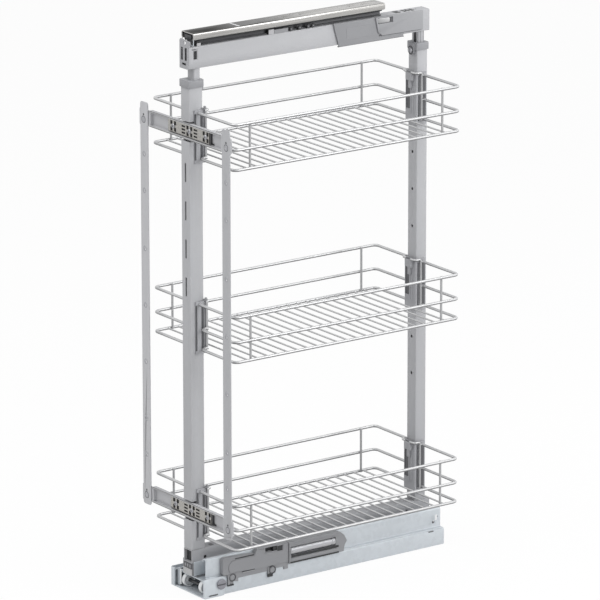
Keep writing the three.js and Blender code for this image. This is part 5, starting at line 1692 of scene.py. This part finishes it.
@dataclass
class FrameMarks(SubAssembly):
    """Small dark and light marks of the frame and of the rails: rings, stops, slots and the beam's mouth;
    several of them paint shade in openings and gaps, and one paints the backdrop seen through a hole.
    """

    clamp_z: float = 873.8
    tab_y: float = 215.5
    clamp_ring: tuple[Point2, ...] = ((5.7, 0.3), (5.7, -0.25), (7.7, -0.25), (7.7, 0.3))
    strip_x: float = 119.0
    strip_face: float = -248.5
    strip_middle: float = 476.0
    strip_holes: tuple[float, ...] = (-262.0, -199.0, -98.5, 0.0, 98.5, 199.0, 262.0)
    eyelet: tuple[Point2, ...] = ((2.4, 0.2), (2.4, -0.2), (3.0, -0.35), (4.6, -0.3), (5.0, 0.0), (5.0, 0.2))
    frame_blocks: tuple[Blocks, ...] = (
        # A black sheet inside the bottom beam's open end paints the shade in the tube.
        Blocks("mouth", BLACK_MOULDING, 0.0, (((-9.8, -242.0, 55.2), (9.8, -240.5, 74.8)),)),
        Blocks("plug", SHADE_MOULDING, 0.15, (((-2.0, -206.0, 76.6), (8.0, -199.0, 77.25)),)),
        Blocks("backing", BLACK_MOULDING, 0.0, (((-2.6, -245.2, 515.0), (2.6, -244.9, 750.0)),)),
        # The dark plate on the carriage's front end is its dark plastic and also paints the shade that it
        # lies in.
        Blocks("plate", SHADE_MOULDING, 0.2, (((-12.4, -247.6, 43.6), (12.4, -246.8, 52.6)),)),
        Blocks("cross", PALE_MOULDING, 0.2, tuple(
            ((x - 1.4, -248.0, 45.4), (x + 1.4, -247.4, 50.6)) for x in (-7.0, 0.0, 7.0))),
        Blocks("lip", WIRE_LACQUER, 0.5, (((-12.8, -248.2, 32.0), (12.8, -246.8, 42.8)),)))
    rail_blocks: tuple[Blocks, ...] = (
        Blocks("hem", ZINC_SHEET, 0.4, (((45.9, -205.0, 29.4), (46.9, 254.0, 32.2)),)),
        Blocks("flange", ZINC_SHEET, 0.4, (((-39.2, -247.8, 2.0), (-38.0, -246.8, 33.4)),)),
        # The white block paints the bright backdrop seen through a hole in the guide wall.
        Blocks("eyelet", WHITE_ROLLER, 0.1, (((45.8, 238.0, 47.4), (46.12, 242.2, 56.6)),)),
        # Dark strips paint the shade in slots of the near cheek and of the guide wall.
        Blocks("slots", SHADE_MOULDING, 0.1, (
            ((48.5, -237.3, 3.0), (48.95, -219.6, 5.2)), ((45.8, 231.7, 42.2), (46.2, 235.6, 45.8)),
            ((46.6, 223.5, 27.0), (47.15, 234.3, 28.9)))))
    runner_blocks: tuple[Blocks, ...] = (
        Blocks("tab", ZINC_SHEET, 0.4, (((-37.6, -243.1, 4.0), (-30.4, -241.9, 33.4)),)),
        Blocks("guard", WHITE_ROLLER, 0.4, (((-30.2, -243.0, 6.0), (-26.4, -241.8, 33.0)),)))
    catch_groove: Box = ((-13.0, -148.4, 966.9), (14.0, -145.0, 968.0))
    slide_blocks: tuple[Blocks, ...] = (
        Blocks("catch", WHITE_ROLLER, 0.0, (((-12.9, -148.3, 966.5), (13.9, -145.1, 967.15)),)),
        Blocks("end", ZINC_SHEET, 0.2, (
            ((-16.6, -240.9, 948.0), (-15.9, -239.6, 963.8)), ((15.9, -240.9, 948.0), (16.6, -239.6, 963.8)),
            ((-16.2, -240.9, 946.0), (-9.5, -239.6, 947.6)), ((9.5, -240.9, 946.0), (16.2, -239.6, 947.6)))))
    top_blocks: tuple[Blocks, ...] = (
        Blocks("dashes", BLACK_MOULDING, 0.0, tuple(
            ((-7.0, front, 943.5), (7.0, rear, 943.78))
            for front, rear in ((179.0, 190.0), (197.5, 202.5), (205.0, 210.0), (212.5, 218.5)))),
        # Darker strips paint the shade in two grooves of the rear inner post.
        Blocks("grooves", GREY_MOULDING, 0.0, tuple(
            ((8.8, front, 790.0), (9.5, rear, 906.5)) for front, rear in ((228.0, 230.4), (234.6, 236.0)))),
        Blocks("stop", SHADE_MOULDING, 0.2, (((14.6, 160.6, 933.4), (16.6, 165.4, 941.9)),)),
        # Dark strips under the damper cover and along the beam paint the shadow in the gaps there.
        Blocks("gap", SHADE_MOULDING, 0.0, (
            ((11.8, 138.0, 911.2), (15.9, 228.4, 912.5)), ((11.8, 54.0, 903.6), (14.8, 190.4, 904.8)))),
        Blocks("panel", GREY_MOULDING, 0.35, (((14.6, 71.0, 914.5), (15.35, 121.0, 934.0)),)))

    def _eyelets(self) -> None:
        """The bright rings in the fixing holes of the two strips."""
        ring = self.bench.lathe("eyelet", self.eyelet, (0, 0, 0), Axis.Y, 28, ring=True)
        spots = [(side * self.strip_x, self.strip_face, self.strip_middle + z)
                 for side in (-1, 1) for z in self.strip_holes]
        self.bench.assemble("strip_eyelets", self.bench.scatter(spots, [(ring, ZINC_SCREW)]), "door_mount")

    def build(self) -> None:
        """Builds and seats the pieces."""
        make = self.bench
        self._eyelets()
        rings = [(make.lathe("ring", [(r, way * run) for r, run in self.clamp_ring],
                             (0.0, way * self.tab_y, self.clamp_z), Axis.Y, 36, ring=True), SHADE_MOULDING)
                 for way in (-1, 1)]
        make.assemble("frame_marks", [*rings, *make.solids(self.frame_blocks)], "frame")
        make.assemble("rail_marks", make.solids(self.rail_blocks), "cabinet_side")
        make.assemble("runner_marks", make.solids(self.runner_blocks), "middle_runner")
        rail = make.cut(make.skin("top_fixed_rail", 0.2), [self.catch_groove])
        make.seat(rail, "top_fixed", SLIDE_PLATE, ["top_fixed_rail"])
        make.assemble("slide_catch", make.solids(self.slide_blocks), "top_fixed")
        make.assemble("top_marks", make.solids(self.top_blocks), "top_assembly")


@dataclass
class SlideFittings(SubAssembly):
    """Spacers and small bearing wheels between the top beam and its slide."""

    wheels_y: tuple[float, ...] = (-40.0, -22.6, -5.0, 5.0)
    wheel_x: float = 10.7
    wheel_z: float = 947.4
    wheel: tuple[Point2, ...] = (
        (0.9, -1.0), (2.2, -1.0), (2.5, -1.3), (3.3, -1.3), (3.6, -1.0), (3.6, 1.0), (3.3, 1.3), (2.5, 1.3),
        (2.2, 1.0), (0.9, 1.0))
    pin: tuple[Point2, ...] = ((0, -1.6), (0.95, -1.6), (0.95, 1.5), (0, 1.5))
    blocks: tuple[Blocks, ...] = (
        Blocks("spacers", FITTING_STEEL, 0.4, (
            ((9.5, -230.0, 943.6), (11.9, -222.6, 949.0)), ((9.5, -86.0, 943.6), (11.9, -75.0, 951.9)))),
        Blocks("carrier", GREY_MOULDING, 0.3, (((9.5, -74.0, 943.6), (11.2, -46.0, 950.4)),)))

    def build(self) -> None:
        """Builds and seats the pieces."""
        wheel = self.bench.lathe("wheel", self.wheel, (0, 0, 0), Axis.X, 24, ring=True)
        pin = self.bench.lathe("pin", self.pin, (0, 0, 0), Axis.X, 12)
        spots = [(self.wheel_x, y, self.wheel_z) for y in self.wheels_y]
        wheels = self.bench.scatter(spots, [(wheel, SHADOW_STEEL), (pin, ZINC_SCREW)])
        self.bench.assemble("slide_fittings", [*self.bench.solids(self.blocks), *wheels], "top_assembly")


@dataclass
class PlainNodes(SubAssembly):
    """The CAD nodes whose shapes only need eased edges and their finish."""

    bevel: float = 0.35
    bevels: dict[str, float] = field(default_factory=lambda: {
        "base_rail": 0.25, "side_guide_rail": 0.25, "roller_cheek_near": 0.3, "roller_cheek_far": 0.3,
        "middle_rail": 0.25, "front_upright": 0.3, "rear_upright": 0.3, "bottom_beam": 0.3,
        "carriage_rail": 0.3, "top_beam": 0.3, "left_door_strip": 0.4, "right_door_strip": 0.4,
        "lower_door_channel": 0.2, "upper_door_channel": 0.2, "top_middle_rail": 0.2,
    })
    # The bottom beam's darker lacquer paints shade, the left door strip's lighter one paints light, and the
    # dark steel paints the shade round the axles and in the slide.
    finishes: dict[str, Finish] = field(default_factory=lambda: {
        "top_middle_rail": SHADOW_STEEL, "top_inner_rail": SHADOW_STEEL,
        "top_left_ball_cage": SHADOW_STEEL, "top_right_ball_cage": SHADOW_STEEL, "top_latch_cover": PALE_MOULDING,
        "front_collar": COLLAR_MOULDING, "rear_collar": COLLAR_MOULDING, "front_roller_axle": SHADOW_STEEL,
        "rear_roller_axle": SHADOW_STEEL, "top_latch": WIRE_LACQUER, "bottom_beam": SHADED_STEEL,
        "lower_door_channel": PALE_AND_LIT_STEEL, "upper_door_channel": PALE_AND_LIT_STEEL, "left_door_strip": PALE_AND_LIT_STEEL,
    })

    def build(self) -> None:
        """Dresses every node that no other class has replaced."""
        for node in sorted(frame["nodes"]):
            if node not in self.bench.replaced:
                self.bench.dress_node(node, self.bevels.get(node, self.bevel), self.finishes.get(node))


# ---------------------------------------------------------------- studio

@dataclass
class Studio:
    """Floor, light and camera."""

    lamps: tuple[tuple[str, Point3, float, float], ...] = (
        ("key", (2.4, 1.0, 2.2), 2.2, 56.0), ("fill", (-0.2, -1.9, 3.1), 2.4, 45.0),
        ("rear", (0.8, 2.6, 2.0), 2.0, 10.0))
    aim: Point3 = (0.0, 0.0, 0.48)
    soft_light: float = 0.5
    floor_half: float = 30.0
    floor_drop: float = 0.0004
    floor_tone: float = 0.92
    floor_roughness: float = 0.9
    floor_glow: float = 0.94
    camera_place: Point3 = (7.434977, -5.330175, 3.068110)
    right: Point3 = (0.58183763, 0.81330422, -0.00109882)
    up: Point3 = (-0.2215185, 0.15977397, 0.96197808)
    back: Point3 = (0.7825564, -0.55947164, 0.27312444)
    lens: float = 338.18
    sensor: float = 36.0
    clip_end: float = 60.0

    def build(self) -> None:
        """Makes the floor, the world, the lamps and the camera."""
        bpy.context.scene.view_settings.view_transform = "Standard"
        self._world()
        self._floor()
        for lamp in self.lamps:
            self._lamp(*lamp)
        self._camera()

    def _world(self) -> None:
        """A white backdrop for the camera and for reflections, and plain soft light."""
        world = bpy.data.worlds.new("studio")
        bpy.context.scene.world = world
        world.use_nodes = True
        tree = world.node_tree
        background = tree.nodes["Background"]
        background.inputs["Color"].default_value = (1.0, 1.0, 1.0, 1.0)
        rays = add_node(tree, "ShaderNodeLightPath")
        seen = add_node(tree, "ShaderNodeMath", operation="MAXIMUM")
        clear = add_node(tree, "ShaderNodeMath", operation="MAXIMUM")
        level = add_node(tree, "ShaderNodeMapRange", {"To Min": self.soft_light, "To Max": 1.0})
        wire(tree, (rays, "Is Camera Ray", seen, 0), (rays, "Is Glossy Ray", seen, 1), (seen, 0, clear, 0),
             (rays, "Is Transmission Ray", clear, 1), (clear, 0, level, "Value"),
             (level, "Result", background, "Strength"))

    def _floor(self) -> None:
        """A pale floor that keeps the unit's shadow."""
        bm = bmesh.new()
        bmesh.ops.create_grid(bm, x_segments=1, y_segments=1, size=self.floor_half)
        floor = Bench.new_object("floor", bm)
        floor.location.z = -self.floor_drop
        material = bpy.data.materials.new("pale_floor")
        material.use_nodes = True
        tree = material.node_tree
        shader = tree.nodes["Principled BSDF"]
        shader.inputs["Base Color"].default_value = (*(self.floor_tone,) * 3, 1.0)
        shader.inputs["Roughness"].default_value = self.floor_roughness
        glow = add_node(tree, "ShaderNodeEmission")
        rays = add_node(tree, "ShaderNodeLightPath")
        seen = add_node(tree, "ShaderNodeMath", operation="MAXIMUM")
        share = add_node(tree, "ShaderNodeMapRange", {"To Max": self.floor_glow})
        blend = add_node(tree, "ShaderNodeMixShader")
        wire(tree, (rays, "Is Camera Ray", seen, 0), (rays, "Is Glossy Ray", seen, 1),
             (seen, 0, share, "Value"), (share, "Result", blend, "Fac"), (shader, 0, blend, 1),
             (glow, 0, blend, 2), (blend, 0, tree.nodes["Material Output"], "Surface"))
        floor.data.materials.append(material)

    def _lamp(self, name: str, place: Point3, size: float, watts: float) -> None:
        """Adds a square soft lamp that points at the unit's middle.

        Args:
            name: the lamp's name.
            place: where it stands, in metres.
            size: its side in metres.
            watts: its power.
        """
        data = bpy.data.lights.new(name, "AREA")
        data.size = size
        data.energy = watts
        lamp = bpy.data.objects.new(name, data)
        bpy.context.scene.collection.objects.link(lamp)
        lamp.location = place
        lamp.rotation_euler = (Vector(self.aim) - Vector(place)).to_track_quat("-Z", "Y").to_euler()

    def _camera(self) -> None:
        """Sets the camera at the photograph's angle."""
        data = bpy.data.cameras.new("camera")
        data.lens = self.lens
        data.sensor_width = self.sensor
        data.clip_end = self.clip_end
        camera = bpy.data.objects.new("camera", data)
        bpy.context.scene.collection.objects.link(camera)
        turn = Matrix((self.right, self.up, self.back)).transposed().to_4x4()
        camera.matrix_world = Matrix.Translation(self.camera_place) @ turn
        bpy.context.scene.camera = camera


BASKET_LEVELS = {"lower": 101.7, "middle": 428.0, "upper": 755.4}
DOOR_HEIGHTS = {"lower": 145.5, "upper": 801.0}


def main() -> None:
    """Builds every sub-assembly in order."""
    logging.basicConfig(level=logging.INFO, format="%(name)s: %(message)s")
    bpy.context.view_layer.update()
    Studio().build()
    bench = Bench(FinishShop())
    for name, level in BASKET_LEVELS.items():
        Basket(bench, name, level).build()
        for place in Place:
            HungBracket(bench, name, level, place).build()
    for name, height in DOOR_HEIGHTS.items():
        DoorFixing(bench, name, height).build()
    for roller in ROLLERS:
        Roller(bench, *roller).build()
    SlottedScrew(bench, "adjusting_screw", "cheek_screw", (49.1, -213.0, 21.0), Axis.X, way=1, radius=9.0,
                 height=3.0, shank=3.1, shank_reach=1.8, slot=(2.0, 1.6), finish=CAM_SCREW).build()
    for label, y, way in (("front", -216.6, 1), ("rear", 216.6, -1)):
        SlottedScrew(bench, f"{label}_clamp_screw", f"{label}_clamp", (0.0, y, 873.8), Axis.Y, way,
                     radius=5.0, height=3.0, shank=2.8, shank_reach=5.9).build()
    for assembly in (SoftClose, TopBeamEnd, SlideFittings, FrameMarks, PlainNodes):
        assembly(bench).build()


if __name__ == "__main__":
    main()
